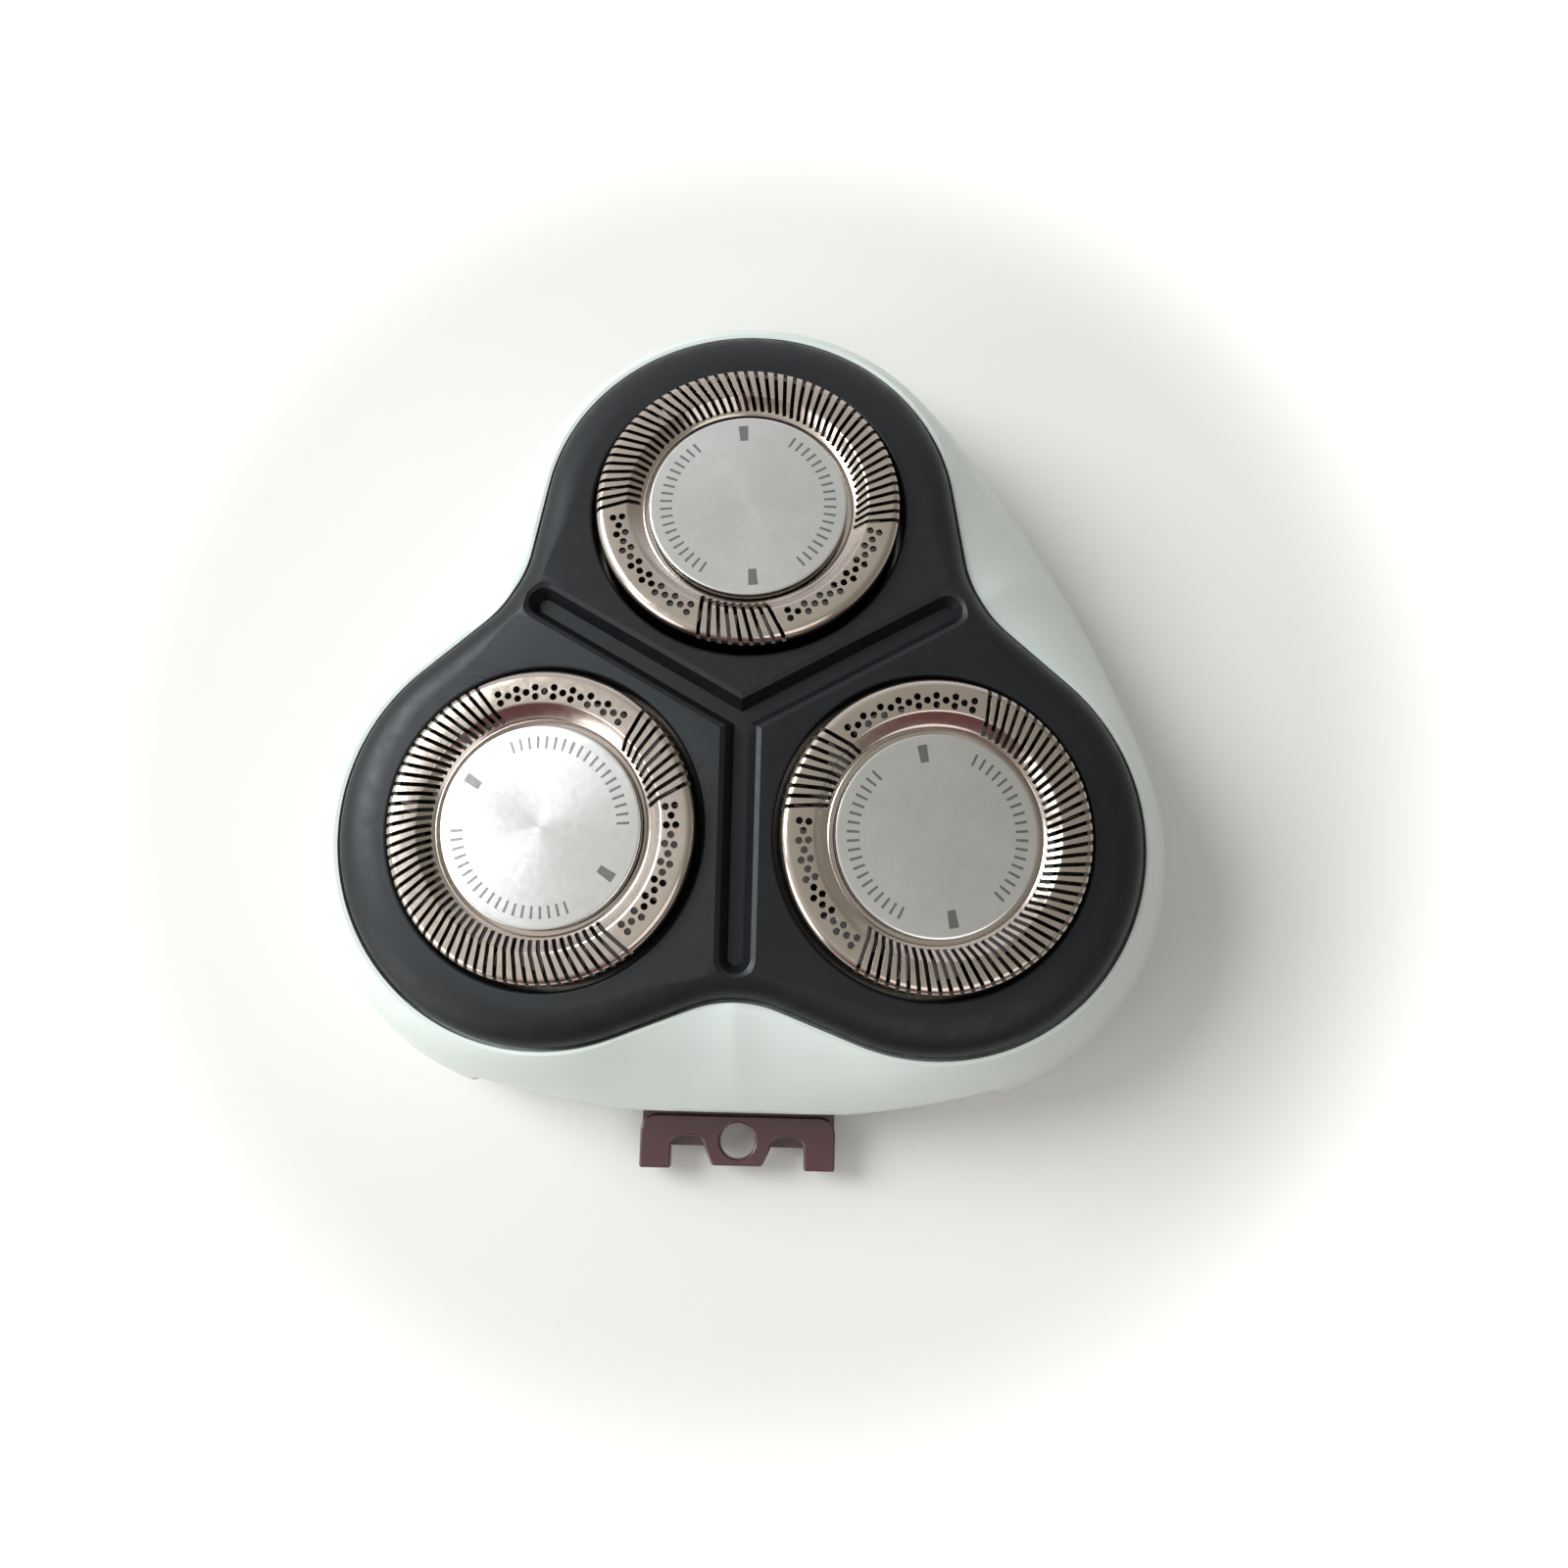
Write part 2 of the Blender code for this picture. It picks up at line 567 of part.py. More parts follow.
def guard_profile():
    """The pressed cup's section, from its well over the track to the flange and back inside."""
    flange_top = GUARD_FLANGE_THICKNESS - GUARD_DEPTH
    return [
        (0, -WELL_DEPTH),
        (WELL_RADIUS, -WELL_DEPTH),
        (WELL_RADIUS, -WELL_LIP_DEPTH),
        (TRACK_INNER_RADIUS, 0),
        (GUARD_RADIUS - TRACK_SHOULDER, 0),
        (GUARD_RADIUS, -TRACK_SHOULDER),
        (GUARD_RADIUS, flange_top),
        (GUARD_RADIUS + GUARD_FLANGE_WIDTH, flange_top),
        (GUARD_RADIUS + GUARD_FLANGE_WIDTH, -GUARD_DEPTH),
        (GUARD_BORE, -GUARD_DEPTH),
        (GUARD_BORE, -TRACK_SHOULDER),
        (GUARD_RADIUS - TRACK_SHOULDER, -GUARD_WALL),
        (TRACK_INNER_RADIUS + GUARD_WALL / 2, -GUARD_WALL),
        (WELL_RADIUS + GUARD_WALL, -WELL_LIP_DEPTH - GUARD_WALL / 2),
        (WELL_RADIUS + GUARD_WALL, -WELL_DEPTH - GUARD_WALL),
        (0, -WELL_DEPTH - GUARD_WALL),
    ]


def slot_angles():
    """Slots stand a pitch apart in a long outer group and a short one towards the head axis."""
    groups = ((0.0, OUTER_SLOTS), (pi, INNER_SLOTS))
    return [middle + SLOT_PITCH * (i - (count - 1) / 2) for middle, count in groups for i in range(count)]


def make_guard(number, lobe, colour):
    """A pressed cup with skewed slots through its track and both shoulders, a little turned in its seat."""
    bm = bmesh.new()
    turn(bm, guard_profile(), ROUND_STEPS)
    guard = finish(f"guard_{number}", bm, lobe, colour)
    slots = bmesh.new()
    middle = (TRACK_INNER_RADIUS + GUARD_RADIUS) / 2
    start = WELL_RADIUS + GUARD_WALL + SLOT_MARGIN
    end = GUARD_RADIUS + GUARD_WALL
    bottom = -(TRACK_SHOULDER + GUARD_WALL) / 2
    for angle in slot_angles():
        turned = Matrix.Rotation(GUARD_TURNS[number - 1] + angle, 4, "Z")
        lean = turned @ Matrix.Translation((middle, 0, 0)) @ Matrix.Rotation(SLOT_SKEW, 4, "Z")
        block(slots, (start - middle, end - middle), (-SLOT_WIDTH / 2, SLOT_WIDTH / 2), (bottom, GUARD_WALL), lean)
    cut(guard, finish(f"slots_{number}", slots, lobe))
    return guard


def make_guard_disc(number, lobe, colour):
    """The bright cover that lies in the guard's well."""
    bottom = SEAT_GAP - WELL_DEPTH
    top = bottom + DISC_THICKNESS
    radius = WELL_RADIUS - RUNNING_GAP
    profile = [(0, bottom), (radius, bottom), (radius, top - DISC_BEVEL), (radius - DISC_BEVEL, top),
               (radius / 2, top + DISC_CROWN * 3 / 4), (0, top + DISC_CROWN)]
    bm = bmesh.new()
    turn(bm, profile, ROUND_STEPS)
    return finish(f"guard_disc_{number}", bm, lobe, colour)


def leaning_tab(bm, spin, foot, head, offset, thickness):
    """An upright plate that leans by the blades' rake. Its offset holds at a blade's top."""
    rings = []
    for height in (foot, head):
        middle = offset + (height - BLADE_TOP) * tan(BLADE_RAKE)
        low, high = middle - thickness / 2, middle + thickness / 2
        outer = BLADE_OUTER - STEP_BACK
        corners = ((BLADE_INNER, low), (outer, low), (outer, high), (BLADE_INNER, high))
        rings.append([spin @ Vector((x, y, height)) for x, y in corners])
    layers(bm, rings)


def make_blade_ring(number, spindle, colour):
    """A flat ring whose nine tabs carry upright blades."""
    bottom = BLADE_PLATE_TOP - BLADE_PLATE_THICKNESS
    bm = bmesh.new()
    tube(bm, HUB_BOSS_RADIUS + SEAT_GAP, BLADE_RING_RADIUS, bottom, BLADE_PLATE_TOP, BLADES * 2)
    blades = finish(f"cutter_blades_{number}", bm, spindle, colour)
    tabs = bmesh.new()
    uprights = bmesh.new()
    foot = tan(BLADE_RAKE) * (BLADE_PLATE_TOP - BLADE_TOP) - BLADE_THICKNESS
    for i in range(BLADES):
        spin = Matrix.Rotation(2 * pi * i / BLADES, 4, "Z")
        x_range = (BLADE_RING_RADIUS - BLADE_TAB_WIDTH / 2, BLADE_OUTER)
        z_range = (bottom + STEP_BACK, BLADE_PLATE_TOP - STEP_BACK)
        block(tabs, x_range, (foot, foot + BLADE_TAB_WIDTH), z_range, spin)
        leaning_tab(uprights, spin, bottom + BLADE_PLATE_THICKNESS / 2, BLADE_TOP, 0.0, BLADE_THICKNESS)
    join(blades, finish(f"blade_tabs_{number}", tabs, spindle))
    join(blades, finish(f"blade_uprights_{number}", uprights, spindle))
    return blades


def make_lifter_ring(number, spindle, colour):
    """A thin spring ring on the blade ring, with a finger that stands just ahead of each blade."""
    bottom = LIFTER_TOP - LIFTER_THICKNESS
    bm = bmesh.new()
    tube(bm, HUB_BOSS_RADIUS + SEAT_GAP, LIFTER_RING_RADIUS, bottom, LIFTER_TOP, BLADES * 2)
    lifters = finish(f"lifter_blades_{number}", bm, spindle, colour)
    ahead = (BLADE_THICKNESS + LIFTER_THICKNESS) / 2 + SEAT_GAP
    foot = tan(BLADE_RAKE) * (bottom - BLADE_TOP) + ahead - LIFTER_THICKNESS / 2
    fingers = bmesh.new()
    uprights = bmesh.new()
    for i in range(BLADES):
        spin = Matrix.Rotation(2 * pi * i / BLADES, 4, "Z")
        x_range = (LIFTER_RING_RADIUS - LIFTER_FINGER_WIDTH, BLADE_OUTER)
        z_range = (bottom + STEP_BACK, LIFTER_TOP - STEP_BACK)
        block(fingers, x_range, (foot, foot + LIFTER_FINGER_WIDTH), z_range, spin)
        leaning_tab(uprights, spin, bottom + LIFTER_THICKNESS / 2, BLADE_TOP - LIFTER_REACH_SHORT, ahead,
                    LIFTER_THICKNESS)
    join(lifters, finish(f"lifter_fingers_{number}", fingers, spindle))
    join(lifters, finish(f"lifter_uprights_{number}", uprights, spindle))
    return lifters


def make_cutter_hub(number, spindle, colour):
    bm = bmesh.new()
    turn(bm, [(0, HUB_BOTTOM), (HUB_STEM_RADIUS, HUB_BOTTOM), (HUB_STEM_RADIUS, HUB_FLANGE_BOTTOM),
              (HUB_FLANGE_RADIUS, HUB_FLANGE_BOTTOM), (HUB_FLANGE_RADIUS, HUB_FLANGE_TOP),
              (HUB_BOSS_RADIUS, HUB_FLANGE_TOP), (HUB_BOSS_RADIUS, LIFTER_TOP), (0, LIFTER_TOP)], SMALL_STEPS)
    hub = finish(f"cutter_hub_{number}", bm, spindle, colour)
    slot = bmesh.new()
    block(slot, (-DRIVE_SLOT_LENGTH / 2, DRIVE_SLOT_LENGTH / 2), (-DRIVE_SLOT_WIDTH / 2, DRIVE_SLOT_WIDTH / 2),
          (HUB_BOTTOM - DRIVE_SLOT_DEPTH, HUB_BOTTOM + DRIVE_SLOT_DEPTH))
    cut(hub, finish(f"drive_slot_{number}", slot, spindle))
    return hub


def make_retaining_frame(root, colour):
    """Three rings under the guards' flanges, with spoked collars for the cutters' stems, on one hub."""
    hub_bottom = FRAME_HUB_TOP - FRAME_HUB_THICKNESS
    bm = bmesh.new()
    tube(bm, LOCK_BORE, FRAME_HUB_RADIUS, hub_bottom, FRAME_HUB_TOP, HIDDEN_STEPS)
    frame = finish("retaining_frame", bm, root, colour)

    arms = bmesh.new()
    rings = bmesh.new()
    collars = bmesh.new()
    spokes = bmesh.new()
    collar_bore = HUB_STEM_RADIUS + RUNNING_GAP
    collar_outer = collar_bore + FRAME_COLLAR_WALL
    collar_top = HUB_FLANGE_BOTTOM - SEAT_GAP
    ring_inner = FRAME_RING_RADIUS - FRAME_RING_WIDTH
    spoke_ends = (collar_bore + FRAME_COLLAR_WALL / 2, ring_inner + FRAME_RING_WIDTH / 4)
    arm_ends = ((LOCK_BORE + FRAME_HUB_RADIUS) / 2, STANDOFF_DISTANCE + STANDOFF_RADIUS)
    for number in range(LOBES):
        block(arms, arm_ends, (-FRAME_ARM_WIDTH / 2, FRAME_ARM_WIDTH / 2),
              (hub_bottom + FRAME_ARM_STEP, FRAME_HUB_TOP - STEP_BACK), waist_matrix(number))
        lobe = lobe_matrix(number + 1)
        tube(rings, ring_inner, FRAME_RING_RADIUS, FRAME_RING_BOTTOM, FRAME_RING_TOP, ROUND_STEPS, lobe)
        tube(collars, collar_bore, collar_outer, FRAME_RING_BOTTOM, collar_top, SMALL_STEPS, lobe)
        for i in range(LOBES):
            spin = Matrix.Rotation(pi / LOBES + 2 * pi * i / LOBES, 4, "Z")
            block(spokes, spoke_ends, (-FRAME_SPOKE_WIDTH / 2, FRAME_SPOKE_WIDTH / 2),
                  (FRAME_RING_BOTTOM + FRAME_ARM_STEP, FRAME_RING_TOP - FRAME_ARM_STEP), lobe @ spin)
    for name, made in (("frame_arms", arms), ("frame_rings", rings), ("frame_spokes", spokes),
                       ("frame_collars", collars)):
        join(frame, finish(name, made, root))
    return frame


def make_lock_knob(root, colour):
    """A fluted quarter-turn knob. Its slot passes the post's cross head after 90 degrees."""

    def grip(angle, height, inset=0.0):
        return polar(angle, KNOB_RADIUS - inset - KNOB_FLUTE_DEPTH * (1 + cos(KNOB_FLUTES * angle)) / 2, height)

    bottom = KNOB_TOP - KNOB_HEIGHT
    web = KNOB_TOP - KNOB_WEB
    bore = POST_RADIUS + RUNNING_GAP
    rows = [(grip, bottom, KNOB_BEVEL), (grip, bottom + KNOB_BEVEL), (grip, KNOB_TOP), (polar, bore, KNOB_TOP),
            (polar, bore, web), (polar, LOCK_BORE, web), (polar, LOCK_BORE, bottom)]
    bm = bmesh.new()
    skin(bm, [around(*row, count=KNOB_FLUTES * 3) for row in rows])
    knob = finish("lock_knob", bm, root, colour)
    slot = bmesh.new()
    length = LOCK_BORE - STEP_BACK
    width = POST_HEAD_WIDTH / 2 + RUNNING_GAP
    block(slot, (-width, width), (-length, length), (web - KNOB_WEB, KNOB_TOP + KNOB_WEB))
    cut(knob, finish("knob_slot", slot, root))
    return knob


def make_hinge_bracket(hinge, colour):
    """A flat clip with two legs, a tongue with a hole, and a barrel round the pin."""
    half = BRACKET_WIDTH / 2
    start = -HINGE_INSET
    tip = start - BRACKET_OUT
    notch = tip + NOTCH_DEPTH
    leg = half - BRACKET_LEG_WIDTH
    root_half, tip_half = TONGUE_ROOT_WIDTH / 2, TONGUE_TIP_WIDTH / 2
    hole_y = tip + TONGUE_SHORT + BRACKET_HOLE_TO_TIP
    low, high = -BRACKET_THICKNESS / 2, BRACKET_THICKNESS / 2
    outline = rounded((half, start), (half, tip), (-half, start), BRACKET_SHOULDER)
    outline += rounded((-half, start), (half, start), (-half, tip), BRACKET_SHOULDER)
    outline += [(-half, tip), (-leg, tip)]
    outline += rounded((-leg, notch), (-leg, tip), (-root_half, notch), NOTCH_ROUNDING)
    outline += [(-root_half, notch), (-root_half, hole_y), (-tip_half, tip + TONGUE_SHORT)]
    outline += [(tip_half, tip + TONGUE_SHORT), (root_half, hole_y), (root_half, notch)]
    outline += rounded((leg, notch), (root_half, notch), (leg, tip), NOTCH_ROUNDING)
    outline += [(leg, tip), (half, tip)]
    bm = bmesh.new()
    prism(bm, outline, low, high)
    bracket = finish("hinge_bracket", bm, hinge, colour)

    root = bmesh.new()
    block(root, (-half + STEP_BACK, half - STEP_BACK), (notch - BRACKET_LEDGE, 0), (low + STEP_BACK, 0))
    join(bracket, finish("bracket_root", root, hinge))
    along = Matrix.Rotation(pi / 2, 4, "Y")
    barrel = bmesh.new()
    rod(barrel, BARREL_RADIUS, -half, half, SMALL_STEPS, along)
    join(bracket, finish("bracket_barrel", barrel, hinge))
    holes = bmesh.new()
    rod(holes, PIN_RADIUS + SEAT_GAP, -BRACKET_WIDTH, BRACKET_WIDTH, SMALL_STEPS, along)
    hole = Matrix.Translation((0, hole_y, 0))
    rod(holes, BRACKET_HOLE_RADIUS, -BRACKET_THICKNESS, BRACKET_THICKNESS, ROUND_STEPS, hole)
    cut(bracket, finish("bracket_holes", holes, hinge))
    return bracket


def make_hinge_pin(hinge, colour):
    length = BRACKET_WIDTH / 2 + SEAT_GAP + LUG_THICKNESS - PIN_INSET
    bm = bmesh.new()
    rod(bm, PIN_RADIUS, -length, length, SMALL_STEPS, Matrix.Rotation(pi / 2, 4, "Y"))
    return finish("hinge_pin", bm, hinge, colour)


def main():
    clear_scene()
    shell = material("mint_gloss_plastic", (0.66, 0.72, 0.69), 0.22)
    black = material("black_satin_plastic", (0.018, 0.018, 0.021), 0.42)
    nickel = material("warm_nickel", (0.55, 0.48, 0.42), 0.2, 1.0)
    silver = material("brushed_silver", (0.62, 0.62, 0.63), 0.32, 1.0)
    steel = material("blade_steel", (0.6, 0.6, 0.6), 0.3, 1.0)
    grey = material("grey_plastic", (0.25, 0.26, 0.27), 0.5)
    maroon = material("maroon_plastic", (0.12, 0.055, 0.06), 0.3)

    root = empty("head_axis", matrix=Matrix.Translation((0, AXIS_Y, 0)))
    make_housing(root, shell)
    make_head_plate(root, black)
    make_retaining_frame(root, grey)
    make_lock_knob(root, grey)
    for number in range(1, LOBES + 1):
        lobe = empty(f"guard_axis_{number}", root, lobe_matrix(number))
        make_guard(number, lobe, nickel)
        make_guard_disc(number, lobe, silver)
        spindle = empty(f"cutter_axis_{number}", lobe)
        make_blade_ring(number, spindle, steel)
        make_lifter_ring(number, spindle, steel)
        make_cutter_hub(number, spindle, grey)
    hinge = empty("hinge_axis", root, Matrix.Translation((0, -HINGE_DISTANCE, HINGE_HEIGHT)))
    make_hinge_bracket(hinge, maroon)
    make_hinge_pin(hinge, steel)


main()
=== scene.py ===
"""Looks of the rotary shaver head: finishes, fine shell and plate, guards, covers, light and camera.

Metres, +Z up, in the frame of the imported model. The head axis and the guards' own frames come from
its joints.
"""

import json
from math import atan, atan2, cos, pi, radians, sin, sqrt, tan

import bmesh
import bpy
from mathutils import Matrix, Vector


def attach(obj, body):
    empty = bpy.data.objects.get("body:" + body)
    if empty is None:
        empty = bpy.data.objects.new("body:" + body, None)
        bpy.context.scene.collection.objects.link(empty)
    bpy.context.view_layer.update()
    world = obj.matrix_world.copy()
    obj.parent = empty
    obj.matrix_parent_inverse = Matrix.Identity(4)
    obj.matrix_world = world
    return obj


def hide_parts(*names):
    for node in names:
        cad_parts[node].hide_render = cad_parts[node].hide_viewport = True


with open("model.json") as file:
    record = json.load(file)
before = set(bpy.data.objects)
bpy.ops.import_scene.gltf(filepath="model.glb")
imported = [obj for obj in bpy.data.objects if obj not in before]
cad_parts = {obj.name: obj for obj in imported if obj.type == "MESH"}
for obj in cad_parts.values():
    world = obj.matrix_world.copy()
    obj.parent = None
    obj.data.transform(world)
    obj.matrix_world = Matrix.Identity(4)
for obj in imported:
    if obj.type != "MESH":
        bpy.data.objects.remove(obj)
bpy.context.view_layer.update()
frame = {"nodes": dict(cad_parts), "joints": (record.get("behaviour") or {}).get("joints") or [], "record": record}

MM = 0.001
NUMBERS = (1, 2, 3)
NODES = frame["nodes"]
JOINTS = {joint["name"]: joint for joint in frame["joints"]}
AXIS = Vector((0, JOINTS["lock_turn"]["pos_m"][1], 0))
HINGE = Vector(JOINTS["bracket_swing"]["pos_m"]) - AXIS

# Steps of round forms, segments of rounded edges, and the angles above which an edge counts as hard
STATIONS = 360
CUP_STEPS = 180
ROD_STEPS = 48
THIN_ROD_STEPS = 32
HOLE_STEPS = 12
GROOVE_END_STEPS = 16
EDGE_STEPS = 14
SIDE_STEPS = 24
INNER_SIDE_STRIDE = 4
CORNER_STEPS = 8
HOLE_EDGE_STEPS = 6
TRACK_EDGE_STEPS = 4
EDGE_SEGMENTS = 2
BRACKET_SEGMENTS = 4
SMOOTH_ANGLE = radians(30)
HARD_ANGLE = radians(35)
RIB_ANGLE = radians(50)
WELD_DISTANCE = 0.005 * MM

# Head layout, as in the frame
LOBES = 3
FIRST_LOBE = radians(90)
LOBE_TILT = radians(7.2)
LOBE_DISTANCE = 15.4616 * MM
GUARD_TOP = 18.0 * MM
GUARD_PROUD = 1.4 * MM
SEAT_GAP = 0.3 * MM
RUNNING_GAP = 0.35 * MM

# Guards: the same cup as in the frame, with round shoulders, a stepped slope and the small holes
GUARD_RADIUS = 10.6 * MM
GUARD_WALL = 0.3 * MM
GUARD_DEPTH = 5.1 * MM
GUARD_TURNS = (radians(-2.3), radians(1.0), radians(4.1))
FLANGE_WIDTH = 1.1 * MM
FLANGE_THICKNESS = 0.4 * MM
TRACK_SHOULDER = 0.6 * MM
TRACK_INNER_RADIUS = 8.35 * MM
TRACK_ROUNDING = 0.3 * MM
STEP_RADIUS = 7.62 * MM
STEP_DEPTH = 0.74 * MM
WELL_RADIUS = 7.25 * MM
WELL_LIP_DEPTH = 0.95 * MM
WELL_LIP_BEVEL = (0.06 * MM, 0.07 * MM)
STEP_BEVEL = (0.08 * MM, 0.03 * MM)
WELL_DEPTH = 1.6 * MM
SLOT_PITCH = radians(4)
OUTER_SLOTS = 49
INNER_SLOTS = 9
SLOT_WIDTH = 0.28 * MM
SLOT_SKEW = radians(14)
SLOT_DEPTHS = (1.15 * MM, 0.75 * MM)
SLOT_START = 7.45 * MM
HOLE_RADIUS = 0.245 * MM
HOLE_RADII = (8.77 * MM, 9.1 * MM, 9.4 * MM)
RIB_ROUNDING = 0.04 * MM
# Depth below the track's top where the painted shade on the guard's outer wall begins
PAINTED_SHADE_DEPTH = 0.7 * MM

# Covers in the wells
COVER_RADIUS = 6.9 * MM
COVER_BOTTOM = -1.3 * MM
COVER_THICKNESS = 0.7 * MM
COVER_CROWN = 0.12 * MM
COVER_BEVEL = 0.1 * MM
COVER_BEVEL_SHARE = 0.3
COVER_SHARES = (0.985, 0.9, 0.75, 0.6, 0.45, 0.3, 0.15, 0)
COVER_TURNS = (radians(5), radians(-63), radians(-49))

# Plain print on the covers. The shift centres the ticks on their pitch and keeps their count positive.
PRINT_STRENGTH = 0.85
TICK_RING = (5.3 * MM, 6.15 * MM)
TICK_COUNT = 60
TICK_SHARE = 0.3
TICK_SHIFT = 0.5 + 4 * TICK_COUNT
TICK_ARC = radians(118)
BAR_RING = (5.0 * MM, 6.2 * MM)
BAR_SHARE = 0.035

# Face plate
PLATE_LOBE_RADIUS = 14.5 * MM
FLANK_SLOPE = radians(21.5)
WAIST_RADIUS = 8.0 * MM
PLATE_THICKNESS = 1.8 * MM
LOBE_INSET = 3.2 * MM
WAIST_INSET = 1.7 * MM
EDGE_DROP = 1.7 * MM
WAIST_CREASE = radians(30)
CREASE_SPREAD = (radians(36), radians(54))
PAD_SHARES = (0.09, 0.3, 0.5, 0.7, 0.86)
SKIRT_HEIGHT = 1.5 * MM
SKIRT_WALL = 1.5 * MM
GUARD_HOLE_ROUNDING = 0.25 * MM
GROOVE_DEPTH = 1.35 * MM
GROOVE_FLOOR_WIDTH = 1.0 * MM
GROOVE_WALL_WIDTH = 2.1 * MM
GROOVE_TOP_WIDTH = 3.4 * MM
GROOVE_BEVEL_DEPTH = 0.32 * MM
GROOVE_END_MARGIN = 0.8 * MM
POST_RADIUS = 2.2 * MM
POST_HEAD = (7.0 * MM, 2.4 * MM)
POST_HEAD_HEIGHTS = (8.7 * MM, 9.6 * MM)
POST_OVERLAP = PLATE_THICKNESS / 3
STANDOFF_DISTANCE = 14.4 * MM
STANDOFF_RADIUS = 1.5 * MM
STANDOFF_BOTTOM = 13.7 * MM

# Housing. Its base curve holds shares of the base's inset and of the widest outline's height.
CORNER_RADIUS = 17.5 * MM
CORNER_DISTANCE = 15.9 * MM
SIDE_RADIUS = 67.6 * MM
WIDEST_HEIGHT = 5.5 * MM
BASE_INSET = 1.3 * MM
BASE_CURVE = ((0.04, 0.88), (0.15, 0.6), (0.3, 0.38), (0.5, 0.2), (0.72, 0.08), (1.0, 0.0))
HOUSING_WALL = 1.6 * MM
HOUSING_LIP = 0.3 * MM
HOUSING_CROWN = 0.55
LIP_BELOW_EDGE = 0.2 * MM
LEDGE_WIDTH = 1.4 * MM
LEDGE_THICKNESS = 1.2 * MM
RECESS_WIDTH = 39.0 * MM
RECESS_DEPTH = 0.58 * MM
RECESS_RAMP = 0.9 * MM
RECESS_FLAT = 26.33 * MM
RECESS_HEIGHT = 10.0 * MM
BRACKET_WIDTH = 14.4 * MM
BARREL_RADIUS = 1.7 * MM
PIN_RADIUS = 0.8 * MM
LUG_THICKNESS = 2.3 * MM
LUG_HEIGHT = 4.4 * MM
WINDOW_HEIGHT = 4.7 * MM

# Hinge bracket, in the frame of its hinge
BRACKET_START = -2.4 * MM
BRACKET_TIP = -6.3 * MM
BRACKET_THICKNESS = 1.7 * MM
BRACKET_SHOULDER = 1.2 * MM
BRACKET_ROUNDING = 0.18 * MM
LEG_WIDTH = 2.3 * MM
NOTCH = -3.95 * MM
NOTCH_ROUNDING = 0.8 * MM
TONGUE_HALVES = (2.45 * MM, 1.85 * MM)
TONGUE_TIP = -6.05 * MM
BRACKET_HOLE = -4.25 * MM
BRACKET_HOLE_RADIUS = 1.3 * MM
ROOT_FRONT = -4.7 * MM
ROOT_TOP = -0.35 * MM
ROOT_BOTTOM = -0.7 * MM
ROOT_SIDE = 0.05 * MM
NODE_ROUNDING = 0.1 * MM

# Finishes: colour, roughness and metal, then the noises that vary them. Mottle has a scale, a detail and
# two colours, gloss the same with two roughnesses, and grain a scale, a detail, a depth and a strength.
WHITE = (1.0, 1.0, 1.0)
# Painted shade for the guards' outer walls below the shoulder
PAINTED_SHADE_NICKEL = (0.12, 0.105, 0.095)
PRINT_GREY = (0.16, 0.16, 0.165)
NOISE_MIDDLE = (0.3, 0.7)
EVEN = (1, 1, 1)
COVER_RINGS = {"scale": 9000, "depth": 0.002 * MM, "strength": 0.35}
FINISHES = {
    "mint_shell": {
        "base": ((0.71, 0.775, 0.745), 0.32),
        "mottle": (60, 2, (0.70, 0.765, 0.735), (0.72, 0.785, 0.755)),
        "gloss": (500, 3, 0.29, 0.36),
        "grain": (300, 2, 0.002 * MM, 0.1),
        "sockets": {"Coat Weight": 0.3, "Coat Roughness": 0.14},
    },
    "black_plate": {
        "base": ((0.007, 0.007, 0.008), 0.42),
        "mottle": (150, 3, (0.0055, 0.0057, 0.0072), (0.0085, 0.009, 0.0112)),
        "gloss": (900, 3, 0.38, 0.5),
        "grain": (5200, 3, 0.004 * MM, 0.5),
        "sockets": {"Specular IOR Level": 0.34, "Specular Tint": (0.9, 0.96, 1.0, 1.0)},
    },
    "grey_moulding": {
        "base": ((0.07, 0.072, 0.075), 0.5),
        "mottle": (200, 3, (0.055, 0.057, 0.06), (0.085, 0.088, 0.092)),
        "gloss": (900, 3, 0.42, 0.58),
        "grain": (4200, 3, 0.008 * MM, 0.6),
    },
    "maroon_bracket": {
        "base": ((0.07, 0.024, 0.03), 0.2),
        "mottle": (350, 3, (0.058, 0.018, 0.023), (0.085, 0.03, 0.037)),
        "gloss": (1200, 3, 0.17, 0.26),
        "grain": (2600, 3, 0.006 * MM, 0.5),
        "sockets": {"Coat Weight": 0.6, "Coat Roughness": 0.1},
    },
    "warm_nickel": {
        "base": ((0.52, 0.455, 0.40), 0.2, 1.0),
        "mottle": (260, 3, (0.46, 0.40, 0.355), (0.57, 0.505, 0.455)),
        "gloss": (1800, 4, 0.13, 0.24),
        "grain": (5200, 3, 0.003 * MM, 0.5),
    },
    "brushed_cover": {
        "base": ((0.66, 0.66, 0.665), 0.24, 1.0),
        "mottle": (700, 4, (0.61, 0.61, 0.615), (0.71, 0.71, 0.715)),
        "gloss": (2200, 4, 0.215, 0.265),
        "sockets": {"Anisotropic": 0.4},
    },
    # Steel darkened far below bare steel: painted shade for the blades deep inside the head; the hinge pin uses it
    # too
    "blade_steel": {
        "base": ((0.08, 0.08, 0.08), 0.36, 1.0),
        "mottle": (500, 3, (0.06, 0.06, 0.06), (0.10, 0.10, 0.10)),
        "gloss": (3000, 3, 0.3, 0.42),
        "grain": (4000, 3, 0.004 * MM, 0.5),
        "stretch": (1, 1, 8),
    },
    "floor_paint": {
        "base": ((0.73, 0.725, 0.695), 0.7),
        "mottle": (3, 2, (0.725, 0.72, 0.69), (0.735, 0.73, 0.70)),
    },
}

# Places of sockets whose name another socket of the node has too: the two colours and the two values that
# a mix node takes, the colour that it gives, and the four limits of a map range node
MIX_COLOURS = (6, 7)
MIX_VALUES = (2, 3)
MIXED_COLOUR = 2
MAP_LIMITS = slice(1, 5)

